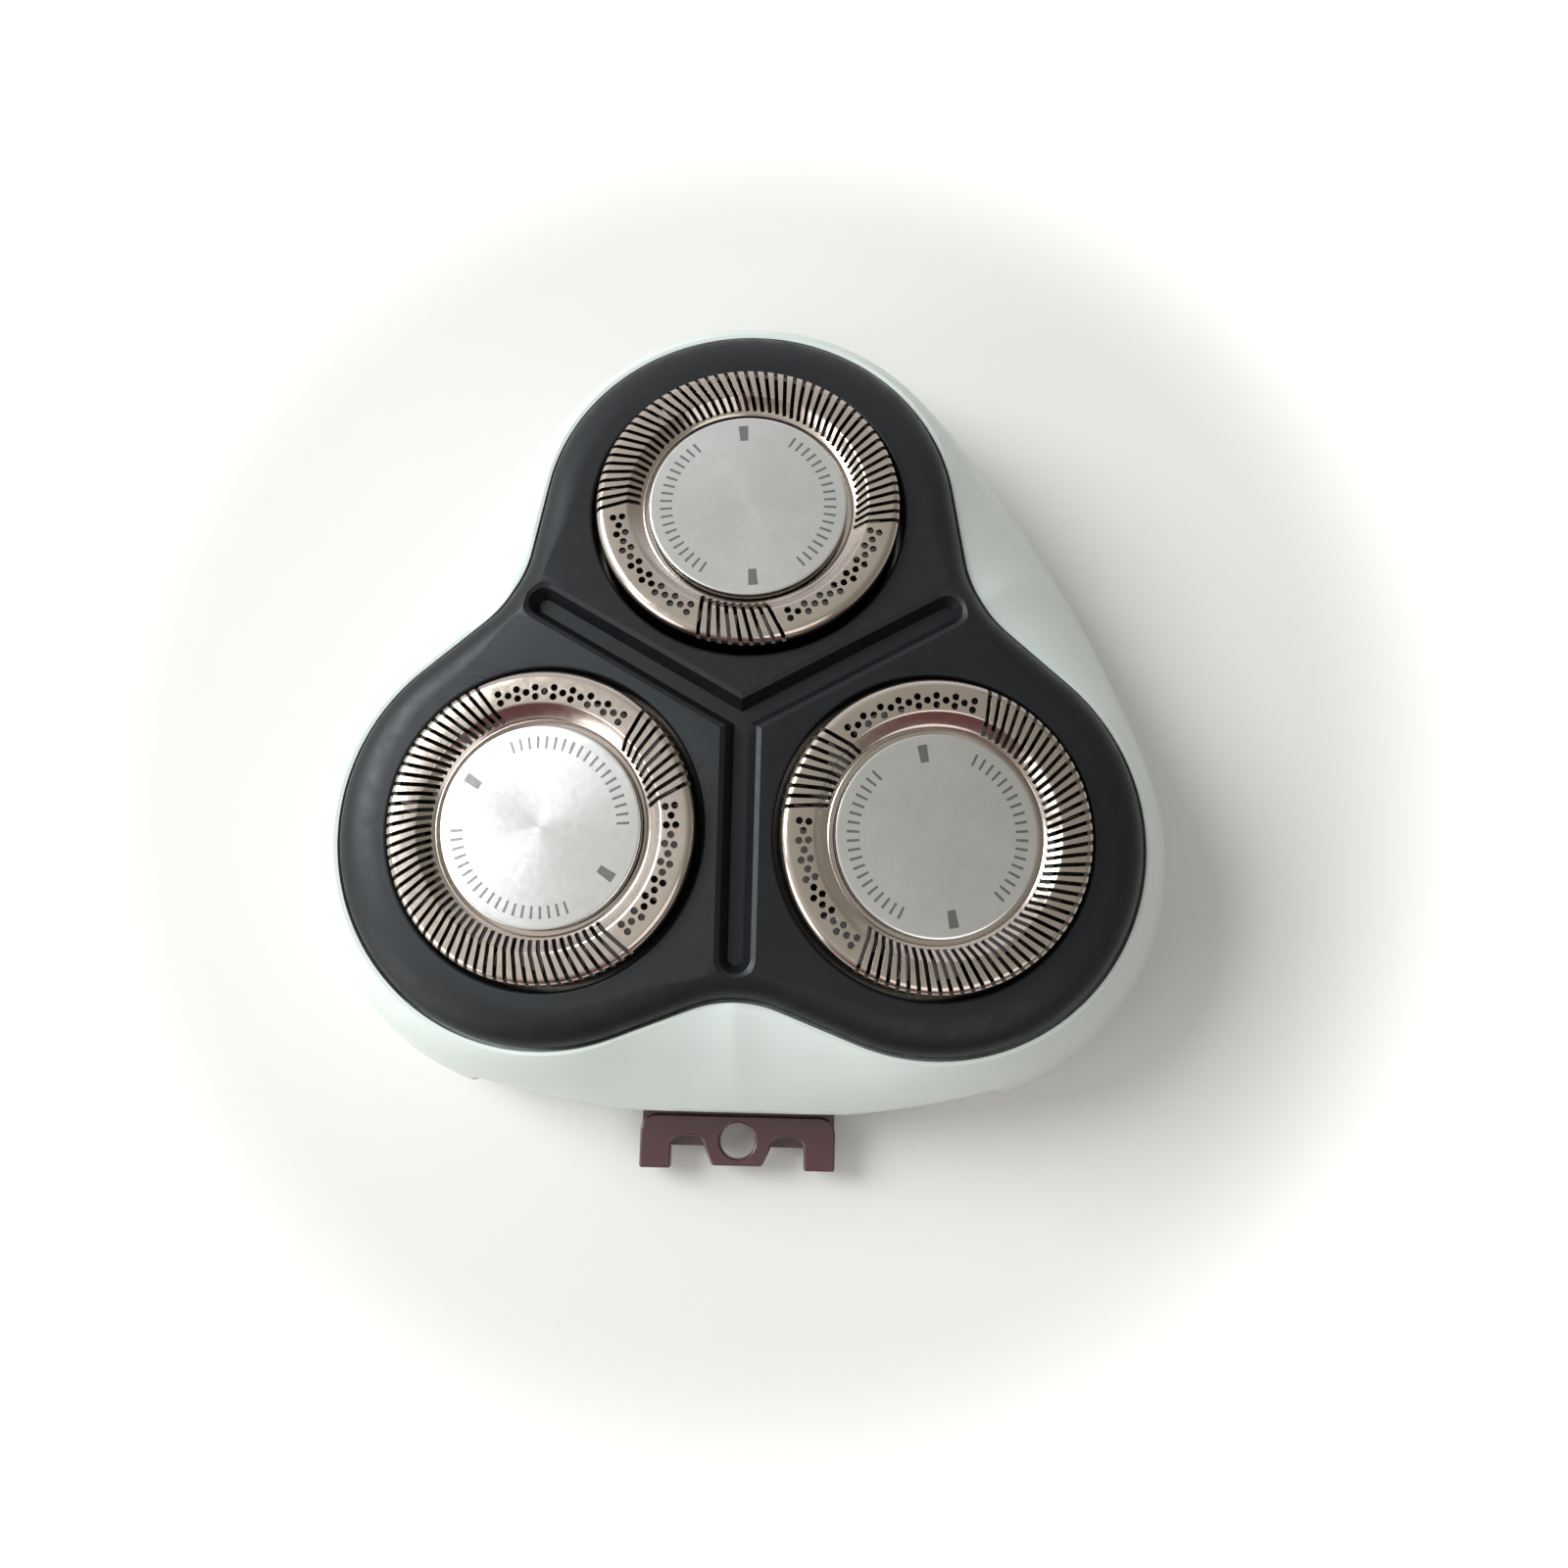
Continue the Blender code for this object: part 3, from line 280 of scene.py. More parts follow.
# Light: where all lamps point, and the place, size, power and colour of each
LAMP_TARGET = (0, 0, 0.01)
LAMPS = {
    "key": ((-0.97, 0.345, 0.89), 0.83, 18.4, (0.95, 0.99, 1.0)),
    "fill": ((-0.90, -0.54, 0.39), 0.75, 3.3, (0.98, 1.0, 1.0)),
    "front": ((0.20, -0.30, 0.42), 0.35, 0.4, WHITE),
}

# World: its brightness, and the colours that it takes towards the left, the right, the front and the back
AMBIENT = 0.58
WINDOW_SPREAD = (-0.7, 0.6)
WINDOW_COLOUR = (1.0, 0.995, 0.96)
FAR_COLOUR = (0.335, 0.33, 0.28)
FRONT_SPREAD = (-0.35, -0.9)
FRONT_COLOUR = (0.2, 0.09, 0.09)
BACK_SPREAD = (0.6, 0.95)
BACK_COLOUR = (0.95, 0.95, 1.0)

# Floor: its size, and how much brighter the camera sees it with the distance from the middle
FLOOR_SIZE = 1.5
FLOOR_LIFT = (0.05, 0.5)
FLOOR_FADE = (44 * MM, 66 * MM)

# Camera of the photograph, from the outlines of the three guards
CAMERA_PLACE = AXIS + Vector((4.291, -22.72, 114.401)) * MM
CAMERA_PITCH = -0.186681587
CAMERA_PAN = -0.013532893
CAMERA_ROLL = -0.0248699856
LENS = 33.75
SENSOR = 36.0
NEAR_CLIP = 0.005


def turned(angle, axis):
    """The 4 by 4 matrix of a rotation."""
    return Matrix.Rotation(angle, 4, axis)


def moved(x, y, z):
    return Matrix.Translation((x, y, z))


def lobe_matrix(number):
    """The guard's own frame: its track's top at 0, Z along the cutter's axis, X away from the middle."""
    joint = JOINTS[f"cutter_{number}_spin"]
    z_axis = Vector(joint["axis"]).normalized()
    outward = Vector((z_axis.x, z_axis.y, 0)).normalized()
    y_axis = z_axis.cross(outward).normalized()
    x_axis = y_axis.cross(z_axis)
    return moved(*joint["pos_m"]) @ Matrix((x_axis, y_axis, z_axis)).transposed().to_4x4()


def waist_matrix(number):
    """The frame of a waist of the outline: X from the head's axis through the waist."""
    return turned(FIRST_LOBE + pi / LOBES + 2 * pi * number / LOBES, "Z")


def mesh_object(name, bm, matrix=Matrix()):
    """Makes an object of a finished bmesh, in the frame that a matrix gives."""
    bmesh.ops.recalc_face_normals(bm, faces=bm.faces)
    mesh = bpy.data.meshes.new(name)
    bm.to_mesh(mesh)
    bm.free()
    made = bpy.data.objects.new(name, mesh)
    bpy.context.scene.collection.objects.link(made)
    made.matrix_world = matrix
    return made


def turn(bm, profile, steps, matrix=Matrix()):
    """Adds the solid that a closed outline of (radius, height) points sweeps round the Z axis."""
    rings = []
    for radius, height in profile:
        angles = [2 * pi * i / steps for i in range(steps if radius > 0 else 1)]
        points = [Vector((radius * cos(a), radius * sin(a), height)) for a in angles]
        rings.append([bm.verts.new(matrix @ point) for point in points])
    for ring, following in zip(rings, rings[1:] + rings[:1]):
        for i in range(steps):
            corners = [ring[i % len(ring)], ring[(i + 1) % len(ring)]]
            corners += [following[(i + 1) % len(following)], following[i % len(following)]]
            different = list(dict.fromkeys(corners))
            if len(different) > 2:
                bm.faces.new(different)


def rod(bm, radius, bottom, top, steps, matrix=Matrix()):
    turn(bm, [(0, bottom), (radius, bottom), (radius, top), (0, top)], steps, matrix)


def layers(bm, rings):
    """Adds the solid between two flat end rings of points, through the rings between them."""
    loops = [[bm.verts.new(point) for point in ring] for ring in rings]
    bm.faces.new(loops[0][::-1])
    bm.faces.new(loops[-1])
    for low, high in zip(loops, loops[1:]):
        for i in range(len(low)):
            j = (i + 1) % len(low)
            bm.faces.new((low[i], low[j], high[j], high[i]))


def block(bm, x_range, y_range, z_range, matrix=Matrix()):
    corners = [(x_range[i], y_range[j]) for i, j in ((0, 0), (1, 0), (1, 1), (0, 1))]
    layers(bm, [[matrix @ Vector((x, y, z)) for x, y in corners] for z in z_range])


def skin(bm, rings, start=None, end=None):
    """Bridges rings of points. Flat sectors close them at end points, or else the last meets the first."""
    loops = [[bm.verts.new(point) for point in ring] for ring in rings]
    following = loops[1:] if start else loops[1:] + loops[:1]
    count = len(loops[0])
    for one, other in zip(loops, following):
        for i in range(count):
            j = (i + 1) % count
            bm.faces.new((one[i], one[j], other[j], other[i]))
    sector = count // LOBES
    waist = round((FIRST_LOBE + pi / LOBES) / (2 * pi) * count)
    for point, loop in ((start, loops[0]), (end, loops[-1])):
        if point:
            tip = bm.verts.new(point)
            for number in range(LOBES):
                first = waist + number * sector
                bm.faces.new([tip] + [loop[(first + i) % count] for i in range(sector + 1)])


def combine(target, tool, operation="DIFFERENCE"):
    """Cuts the tool out of the target's own mesh, or joins it, and removes the tool."""
    modifier = target.modifiers.new("combine", "BOOLEAN")
    modifier.operation = operation
    modifier.solver = "EXACT"
    modifier.object = tool
    graph = bpy.context.evaluated_depsgraph_get()
    done = bpy.data.meshes.new_from_object(target.evaluated_get(graph))
    target.modifiers.clear()
    target.data = done
    bpy.data.objects.remove(tool, do_unlink=True)


def even_flats(obj):
    """Lets broad flat faces set the shading of the rounded edges beside them."""
    weighted = obj.modifiers.new("flat_faces", "WEIGHTED_NORMAL")
    weighted.keep_sharp = True


def round_edges(obj, width, angle=HARD_ANGLE, segments=EDGE_SEGMENTS, clamp=True):
    """Rounds the edges that turn by more than an angle."""
    bevel = obj.modifiers.new("edges", "BEVEL")
    bevel.limit_method = "ANGLE"
    bevel.angle_limit = angle
    bevel.width = width
    bevel.segments = segments
    bevel.use_clamp_overlap = clamp


def dress(obj, material):
    obj.data.materials.clear()
    obj.data.materials.append(material)


def is_output(value):
    return isinstance(value, bpy.types.NodeSocket)


class Nodes:
    """Short calls for the nodes of a material or of the world."""

    def __init__(self, owner):
        owner.use_nodes = True
        self.tree = owner.node_tree

    def node(self, kind, **values):
        made = self.tree.nodes.new(kind)
        for key, value in values.items():
            setattr(made, key, value)
        return made

    def feed(self, value, socket):
        """Links another node's output to a socket, or sets the socket to a plain value."""
        if is_output(value):
            self.tree.links.new(value, socket)
        else:
            socket.default_value = value

    def math(self, operation, *values):
        made = self.node("ShaderNodeMath", operation=operation)
        for value, socket in zip(values, made.inputs):
            self.feed(value, socket)
        return made.outputs[0]

    def mapped(self, value, spread, results, **kind):
        """Maps a spread of values to a range of results."""
        made = self.node("ShaderNodeMapRange", **kind)
        for limit, socket in zip((*spread, *results), made.inputs[MAP_LIMITS]):
            self.feed(limit, socket)
        self.feed(value, made.inputs["Value"])
        return made.outputs["Result"]

    def mixed(self, share, *colours):
        """Mixes two colours, either of which can be another node's output."""
        made = self.node("ShaderNodeMix", data_type="RGBA")
        self.feed(share, made.inputs[0])
        for colour, index in zip(colours, MIX_COLOURS):
            self.feed(colour if is_output(colour) else (*colour, 1.0), made.inputs[index])
        return made.outputs[MIXED_COLOUR]


class Finish(Nodes):
    """A material with a Principled shader, made from its row of finishes."""

    def __init__(self, name):
        self.material = bpy.data.materials.new(name)
        super().__init__(self.material)
        self.sockets = self.tree.nodes["Principled BSDF"].inputs
        self.place = self.node("ShaderNodeTexCoord").outputs["Object"]
        row = FINISHES[name]
        stretch = row.get("stretch", EVEN)
        colour, *values = row["base"]
        self.set("Base Color", (*colour, 1.0))
        for socket, value in zip(("Roughness", "Metallic"), values):
            self.set(socket, value)
        scale, detail, low, high = row["mottle"]
        self.colour = self.mixed(self.noise(scale, detail), low, high)
        self.set("Base Color", self.colour)
        if "gloss" in row:
            scale, detail, low, high = row["gloss"]
            noise = self.noise(scale, detail, stretch)
            self.set("Roughness", self.mapped(noise, NOISE_MIDDLE, (low, high)))
        if "grain" in row:
            scale, detail, depth, strength = row["grain"]
            self.bump(self.noise(scale, detail, stretch), depth, strength)
        for socket, value in row.get("sockets", {}).items():
            self.set(socket, value)

    def set(self, socket, value):
        self.feed(value, self.sockets[socket])

    def noise(self, scale, detail, stretch=EVEN):
        source = self.place
        if stretch != EVEN:
            mapping = self.node("ShaderNodeMapping")
            self.feed(stretch, mapping.inputs["Scale"])
            self.feed(self.place, mapping.inputs["Vector"])
            source = mapping.outputs["Vector"]
        texture = self.node("ShaderNodeTexNoise")
        for socket, value in (("Scale", scale), ("Detail", detail), ("Vector", source)):
            self.feed(value, texture.inputs[socket])
        return texture.outputs["Fac"]

    def bump(self, height, depth, strength):
        made = self.node("ShaderNodeBump")
        for socket, value in (("Strength", strength), ("Distance", depth), ("Height", height)):
            self.feed(value, made.inputs[socket])
        self.set("Normal", made.outputs["Normal"])

    def paint_over(self, share, colour):
        """Lays a plain colour over the mottled one."""
        self.set("Base Color", self.mixed(share, self.colour, colour))

    def coordinates(self):
        """The place on the object, along X, Y and Z of its own frame."""
        parts = self.node("ShaderNodeSeparateXYZ")
        self.feed(self.place, parts.inputs[0])
        return parts.outputs

    def polar(self):
        """Distance from the Z axis and angle round it, in the object's own frame."""
        place = self.coordinates()
        x, y = place["X"], place["Y"]
        squares = self.math("ADD", self.math("MULTIPLY", x, x), self.math("MULTIPLY", y, y))
        return self.math("SQRT", squares), self.math("ARCTAN2", y, x)

    def ticks(self, away, angle, ring, pitch, share):
        """1 on radial bars of a ring, which fill a share of their pitch round the axis."""
        turns = self.math("FRACT", self.math("ADD", self.math("DIVIDE", angle, pitch), TICK_SHIFT))
        bar = self.math("COMPARE", turns, 0.5, share / 2)
        band = self.math("COMPARE", away, sum(ring) / 2, (ring[1] - ring[0]) / 2)
        return self.math("MULTIPLY", bar, band)


def guard_metal():
    """Bright over the track, with painted shade on the outer wall below its shoulder."""
    made = Finish("warm_nickel")
    # Painted shade: the outer wall below the shoulder is darkened where it faces the black plate
    low = made.math("LESS_THAN", made.coordinates()["Z"], -PAINTED_SHADE_DEPTH)
    outer = made.math("GREATER_THAN", made.polar()[0], GUARD_RADIUS - GUARD_WALL)
    made.paint_over(made.math("MULTIPLY", low, outer), PAINTED_SHADE_NICKEL)
    return made.material


def cover_metal():
    """Brushed round, with two plain bars and two arcs of fine ticks in grey print."""
    made = Finish("brushed_cover")
    away, angle = made.polar()
    ticks = made.ticks(away, angle, TICK_RING, 2 * pi / TICK_COUNT, TICK_SHARE)
    sides = made.math("COMPARE", made.math("ABSOLUTE", angle), pi / 2, TICK_ARC / 2)
    bars = made.ticks(away, angle, BAR_RING, pi, BAR_SHARE)
    printed = made.math("MAXIMUM", made.math("MULTIPLY", ticks, sides), bars)
    made.paint_over(made.math("MULTIPLY", printed, PRINT_STRENGTH), PRINT_GREY)
    tangent = made.node("ShaderNodeTangent", direction_type="RADIAL", axis="Z")
    made.set("Tangent", tangent.outputs["Tangent"])
    rings = made.node("ShaderNodeTexNoise", noise_dimensions="1D")
    made.feed(COVER_RINGS["scale"], rings.inputs["Scale"])
    made.feed(away, rings.inputs["W"])
    made.bump(rings.outputs["Fac"], COVER_RINGS["depth"], COVER_RINGS["strength"])
    return made.material


def fold(angle):
    """Angle from the nearest lobe direction: 0 on a lobe, 60 degrees at a waist."""
    return abs((angle - FIRST_LOBE + pi / LOBES) % (2 * pi / LOBES) - pi / LOBES)


# The plate's flank and waist arc, in the frame of a waist
FLANK_X = LOBE_DISTANCE * cos(pi / LOBES) + PLATE_LOBE_RADIUS * cos(FLANK_SLOPE)
FLANK_Y = LOBE_DISTANCE * sin(pi / LOBES) - PLATE_LOBE_RADIUS * sin(FLANK_SLOPE)
FLANK_CROSSING = FLANK_X - FLANK_Y * tan(FLANK_SLOPE)
WAIST_CENTRE = FLANK_CROSSING + WAIST_RADIUS / cos(FLANK_SLOPE)
WAIST_REACH = WAIST_CENTRE - WAIST_RADIUS


def plate_reach(angle):
    """Reach of the plate's outline from the head axis: a lobe's arc, a flank and a waist's arc."""
    away = fold(angle)
    left = pi / LOBES - away
    if left >= atan2(FLANK_Y, FLANK_X):
        return LOBE_DISTANCE * cos(away) + sqrt(PLATE_LOBE_RADIUS**2 - (LOBE_DISTANCE * sin(away)) ** 2)
    if left >= atan2(WAIST_RADIUS * sin(FLANK_SLOPE), WAIST_CENTRE - WAIST_RADIUS * cos(FLANK_SLOPE)):
        return FLANK_CROSSING / (cos(left) - sin(left) * tan(FLANK_SLOPE))
    return WAIST_CENTRE * cos(left) - sqrt(WAIST_RADIUS**2 - (WAIST_CENTRE * sin(left)) ** 2)


# The housing's bowed sides, whose arcs meet the corners' arcs
CORNER_ACROSS = CORNER_DISTANCE * sin(pi / LOBES)
SIDE_TO_CORNERS = sqrt((SIDE_RADIUS - CORNER_RADIUS) ** 2 - CORNER_ACROSS**2)
SIDE_CENTRE = SIDE_TO_CORNERS - CORNER_DISTANCE * cos(pi / LOBES)
SIDE_DISTANCE = SIDE_RADIUS - SIDE_CENTRE
SIDE_SHARE = SIDE_RADIUS / (SIDE_RADIUS - CORNER_RADIUS)
SIDE_END = atan2(CORNER_ACROSS * SIDE_SHARE, SIDE_TO_CORNERS * SIDE_SHARE - SIDE_CENTRE)


def triangle_reach(angle):
    """Reach of the housing's widest outline: a triangle with bowed sides and round corners."""
    away = fold(angle)
    left = pi / LOBES - away
    if left >= SIDE_END:
        return CORNER_DISTANCE * cos(away) + sqrt(CORNER_RADIUS**2 - (CORNER_DISTANCE * sin(away)) ** 2)
    return sqrt(SIDE_RADIUS**2 - (SIDE_CENTRE * sin(left)) ** 2) - SIDE_CENTRE * cos(left)


def pad_height(angle, reach):
    """Height of the tilted pads, which lie square to the guards' axes."""
    outward = reach * cos(fold(angle)) - LOBE_DISTANCE
    return GUARD_TOP - GUARD_PROUD / cos(LOBE_TILT) - tan(LOBE_TILT) * outward


def polar(angle, reach, height):
    return Vector((reach * cos(angle), reach * sin(angle), height))


def around(make_point, *values):
    """A ring of points, one for each angle."""
    return [make_point(2 * pi * i / STATIONS, *values) for i in range(STATIONS)]


def quarter(steps):
    """The angles of a quarter turn."""
    return [pi / 2 * i / steps for i in range(steps + 1)]


def crease(angle):
    """Share of the crease between pad and edge, from none on a lobe, which rolls off, to 1 at a waist."""
    low, high = CREASE_SPREAD
    share = min(max((fold(angle) - low) / (high - low), 0), 1)
    return share * share * (3 - 2 * share)


def plate_point(angle, inset, drop):
    reach = plate_reach(angle) - inset
    return polar(angle, reach, pad_height(angle, reach) - drop)


def edge_inset(angle):
    return LOBE_INSET + (WAIST_INSET - LOBE_INSET) * crease(angle)


def edge_point(angle, share):
    """A point of the plate's rolled edge, from the pad (share 0) to the skirt (share 1)."""
    start = WAIST_CREASE * crease(angle)
    sweep = start + (pi / 2 - start) * share
    inset = edge_inset(angle) * (1 - sin(sweep)) / (1 - sin(start))
    return plate_point(angle, inset, EDGE_DROP * (cos(start) - cos(sweep)) / cos(start))


def pad_point(angle, share, drop):
    reach = (plate_reach(angle) - edge_inset(angle)) * share
    return polar(angle, reach, pad_height(angle, reach) - drop)


def plate_rings():
    """Rings from the middle of the pads over the edge and round the skirt to the plate's underside."""
    rings = [around(pad_point, share, 0.0) for share in PAD_SHARES]
    rings += [around(edge_point, i / EDGE_STEPS) for i in range(EDGE_STEPS + 1)]
    skirt = EDGE_DROP + SKIRT_HEIGHT
    rings += [around(plate_point, inset, drop)
              for inset, drop in ((0, skirt), (SKIRT_WALL, skirt), (SKIRT_WALL, PLATE_THICKNESS))]
    return rings + [around(pad_point, share, PLATE_THICKNESS) for share in reversed(PAD_SHARES)]


def plate_posts():
    """The lock's post in the middle and a standoff under each waist."""
    bm = bmesh.new()
    post_top, standoff_top = [pad_height(FIRST_LOBE + pi / LOBES, reach) - PLATE_THICKNESS + POST_OVERLAP
                              for reach in (0, STANDOFF_DISTANCE)]
    rod(bm, POST_RADIUS, sum(POST_HEAD_HEIGHTS) / 2, post_top, ROD_STEPS)
    for number in range(LOBES):
        place = waist_matrix(number) @ moved(STANDOFF_DISTANCE, 0, 0)
        rod(bm, STANDOFF_RADIUS, STANDOFF_BOTTOM, standoff_top, THIN_ROD_STEPS, place)
    return bm


def post_head():
    """The bar across the post's end, behind which the lock turns."""
    length, width = POST_HEAD
    bm = bmesh.new()
    block(bm, (-length / 2, length / 2), (-width / 2, width / 2), POST_HEAD_HEIGHTS)
    return bm


def guard_openings():
    """The plate's openings for the guards, whose upper edges are rounded."""
    radius, rounding = GUARD_RADIUS + RUNNING_GAP, GUARD_HOLE_ROUNDING
    profile = [(0, -GUARD_DEPTH), (radius, -GUARD_DEPTH)]
    profile += [(radius + rounding * (1 - cos(a)), -GUARD_PROUD - rounding * (1 - sin(a)))
                for a in quarter(HOLE_EDGE_STEPS)]
    profile += [(radius + rounding, GUARD_PROUD), (0, GUARD_PROUD)]
    bm = bmesh.new()
    for number in NUMBERS:
        turn(bm, profile, CUP_STEPS, lobe_matrix(number))
    return bm


def make_plate(material):
    place = Matrix.Translation(AXIS)
    top = polar(0, 0, pad_height(0, 0))
    bm = bmesh.new()
    skin(bm, plate_rings(), top, top - Vector((0, 0, PLATE_THICKNESS)))
    plate = mesh_object("face_plate", bm, place)
    combine(plate, mesh_object("posts", plate_posts(), place), "UNION")
    combine(plate, mesh_object("post_head", post_head(), place), "UNION")
    combine(plate, mesh_object("guard_holes", guard_openings()))
    for number in range(LOBES):
        combine(plate, mesh_object("groove", groove(number), place))
    finish_piece(plate, material, "head_plate", "head")


def groove(number):
    """One arm of the Y groove, with bevelled edges, along the ridge between two pads."""
    lean = turned(atan(tan(LOBE_TILT) * cos(pi / LOBES)), "Y")
    place = waist_matrix(number) @ moved(0, 0, pad_height(0, 0)) @ lean
    centre = WAIST_REACH - GROOVE_END_MARGIN - GROOVE_TOP_WIDTH / 2
    flare = (GROOVE_TOP_WIDTH - GROOVE_WALL_WIDTH) / GROOVE_BEVEL_DEPTH
    levels = ((-GROOVE_DEPTH, GROOVE_FLOOR_WIDTH), (-GROOVE_BEVEL_DEPTH, GROOVE_WALL_WIDTH),
              (GROOVE_DEPTH, GROOVE_TOP_WIDTH + flare * GROOVE_DEPTH))
    angles = [-pi / 2 + pi * i / GROOVE_END_STEPS for i in range(GROOVE_END_STEPS + 1)]
    rings = []
    for height, width in levels:
        half = width / 2
        points = [(centre + half * cos(a), half * sin(a)) for a in angles]
        points += [(0, half), (-half / tan(pi / LOBES), 0), (0, -half)]
        rings.append([place @ Vector((x, y, height)) for x, y in points])
    bm = bmesh.new()
    layers(bm, rings)
    return bm


def housing_top(angle):
    """Height of the housing's lip, just under the edge of the plate."""
    return pad_height(angle, plate_reach(angle)) - EDGE_DROP - LIP_BELOW_EDGE


def housing_side(angle, share, inset=0.0):
    """A point of the housing's side, from the lip (share 0) to the widest outline (share 1)."""
    start = plate_reach(angle) + SEAT_GAP + HOUSING_LIP
    sweep = share * pi / 2
    out = share + (sin(sweep) - share) * HOUSING_CROWN
    down = share + (1 - cos(sweep) - share) * HOUSING_CROWN
    reach = start + (triangle_reach(angle) - start) * out
    top = housing_top(angle)
    return polar(angle, reach - inset, top + (WIDEST_HEIGHT - top) * down)


def housing_recess(angle, inset, below):
    """A point of the recess that takes the plate, below its seat or, with no depth, at the lip."""
    seat = pad_height(angle, plate_reach(angle)) - EDGE_DROP - SKIRT_HEIGHT - SEAT_GAP
    height = housing_top(angle) if below is None else seat - below
    return polar(angle, plate_reach(angle) + SEAT_GAP - inset, height)


def housing_rim(angle, inset, height):
    """A point of the side below the widest outline."""
    return polar(angle, triangle_reach(angle) - inset, height)


def recess_depth(angle):
    """Depth of the recess over the hinge, which grows from its two ends."""
    from_end = RECESS_WIDTH / 2 - abs(triangle_reach(angle) * cos(angle))
    return RECESS_DEPTH * min(from_end / RECESS_RAMP, 1)


def hinge_recess():
    """Rings of the cut over the hinge: it draws the side in between two ramps and flattens its middle."""
    angles = [2 * pi * i / STATIONS for i in range(STATIONS)]
    angles = [a for a in angles if sin(a) < 0 and abs(triangle_reach(a) * cos(a)) < RECESS_WIDTH / 2]
    rings = []
    for height in (-HOUSING_WALL, RECESS_HEIGHT):
        outer = [housing_rim(a, -HOUSING_WALL, height) for a in angles]
        inner = [housing_rim(a, recess_depth(a), height) for a in reversed(angles)]
        inner = [Vector((point.x, max(point.y, -RECESS_FLAT), height)) for point in inner]
        rings.append(outer + inner)
    return rings


def housing_rings():
    """Rings down the outer side, round the open rim, up the inner side and through the plate's recess."""
    inner_steps = range(SIDE_STEPS - INNER_SIDE_STRIDE, SIDE_STEPS // 2 - 1, -INNER_SIDE_STRIDE)
    ledge = ((LEDGE_WIDTH, LEDGE_THICKNESS), (LEDGE_WIDTH, 0.0), (0.0, 0.0), (0.0, None))
    rings = [around(housing_side, i / SIDE_STEPS) for i in range(SIDE_STEPS + 1)]
    rings += [around(housing_rim, inset * BASE_INSET, height * WIDEST_HEIGHT)
              for inset, height in BASE_CURVE]
    rings.append(around(housing_rim, BASE_INSET + HOUSING_WALL, 0.0))
    rings.append(around(housing_rim, HOUSING_WALL, WIDEST_HEIGHT))
    rings += [around(housing_side, i / SIDE_STEPS, HOUSING_WALL) for i in inner_steps]
    return rings + [around(housing_recess, inset, below) for inset, below in ledge]


def hinge_lugs(start, back):
    """The two lugs that carry the hinge pin."""
    front = (HOUSING_WALL + BASE_INSET) / 2 - SIDE_DISTANCE
    bm = bmesh.new()
    for side in (-1, 1):
        x_range = sorted((side * start, side * (start + LUG_THICKNESS)))
        block(bm, x_range, (front, back), (SEAT_GAP, LUG_HEIGHT))
    return bm


def hinge_window(start, back):
    """The opening of the side between the lugs, down through the rim."""
    bm = bmesh.new()
    block(bm, (-start, start), (-SIDE_DISTANCE - HOUSING_WALL, back + HOUSING_WALL),
          (-HOUSING_WALL, WINDOW_HEIGHT))
    return bm


def pin_bore(reach, place=Matrix()):
    """The bore along the hinge pin, with a gap round the pin."""
    bm = bmesh.new()
    rod(bm, PIN_RADIUS + SEAT_GAP, -reach, reach, THIN_ROD_STEPS, place @ turned(pi / 2, "Y"))
    return bm


def make_housing(material):
    place = Matrix.Translation(AXIS)
    lug_start = BRACKET_WIDTH / 2 + SEAT_GAP
    lug_back = HINGE.y + BARREL_RADIUS
    bm = bmesh.new()
    skin(bm, housing_rings())
    housing = mesh_object("shell", bm, place)
    recess = bmesh.new()
    layers(recess, hinge_recess())
    combine(housing, mesh_object("recess", recess, place))
    combine(housing, mesh_object("lugs", hinge_lugs(lug_start, lug_back), place), "UNION")
    combine(housing, mesh_object("window", hinge_window(lug_start, lug_back), place))
    bore = pin_bore(lug_start + LUG_THICKNESS + HOUSING_WALL, Matrix.Translation(HINGE))
    combine(housing, mesh_object("pin_bore", bore, place))
    finish_piece(housing, material, "housing", "head")


def rounded(corner, start, end, radius):
    """Points of the arc that rounds a right-angled corner, from start's side to end's side."""
    corner, start, end = Vector(corner), Vector(start), Vector(end)
    first = (start - corner).normalized() * radius
    last = (end - corner).normalized() * radius
    return [corner + first * (1 - sin(a)) + last * (1 - cos(a)) for a in quarter(CORNER_STEPS)]


def bracket_outline():
    """The clip from above: two legs with round shoulders, and a tongue between them."""
    half = BRACKET_WIDTH / 2
    leg, (wide, narrow) = half - LEG_WIDTH, TONGUE_HALVES
    outline = [Vector((narrow, TONGUE_TIP))]
    outline += rounded((wide, NOTCH), (wide, BRACKET_TIP), (leg, NOTCH), NOTCH_ROUNDING)
    outline += rounded((leg, NOTCH), (wide, NOTCH), (leg, BRACKET_TIP), NOTCH_ROUNDING)
    outline += [Vector((leg, BRACKET_TIP)), Vector((half, BRACKET_TIP))]
    outline += rounded((half, BRACKET_START), (half, BRACKET_TIP), (-half, BRACKET_START),
                       BRACKET_SHOULDER)
    return outline + [Vector((-point.x, point.y)) for point in reversed(outline)]


def tongue_hole():
    """The round hole through the tongue and the ledge."""
    bm = bmesh.new()
    place = moved(0, BRACKET_HOLE, 0)
    rod(bm, BRACKET_HOLE_RADIUS, -BRACKET_THICKNESS, BRACKET_THICKNESS, ROD_STEPS, place)
    return bm


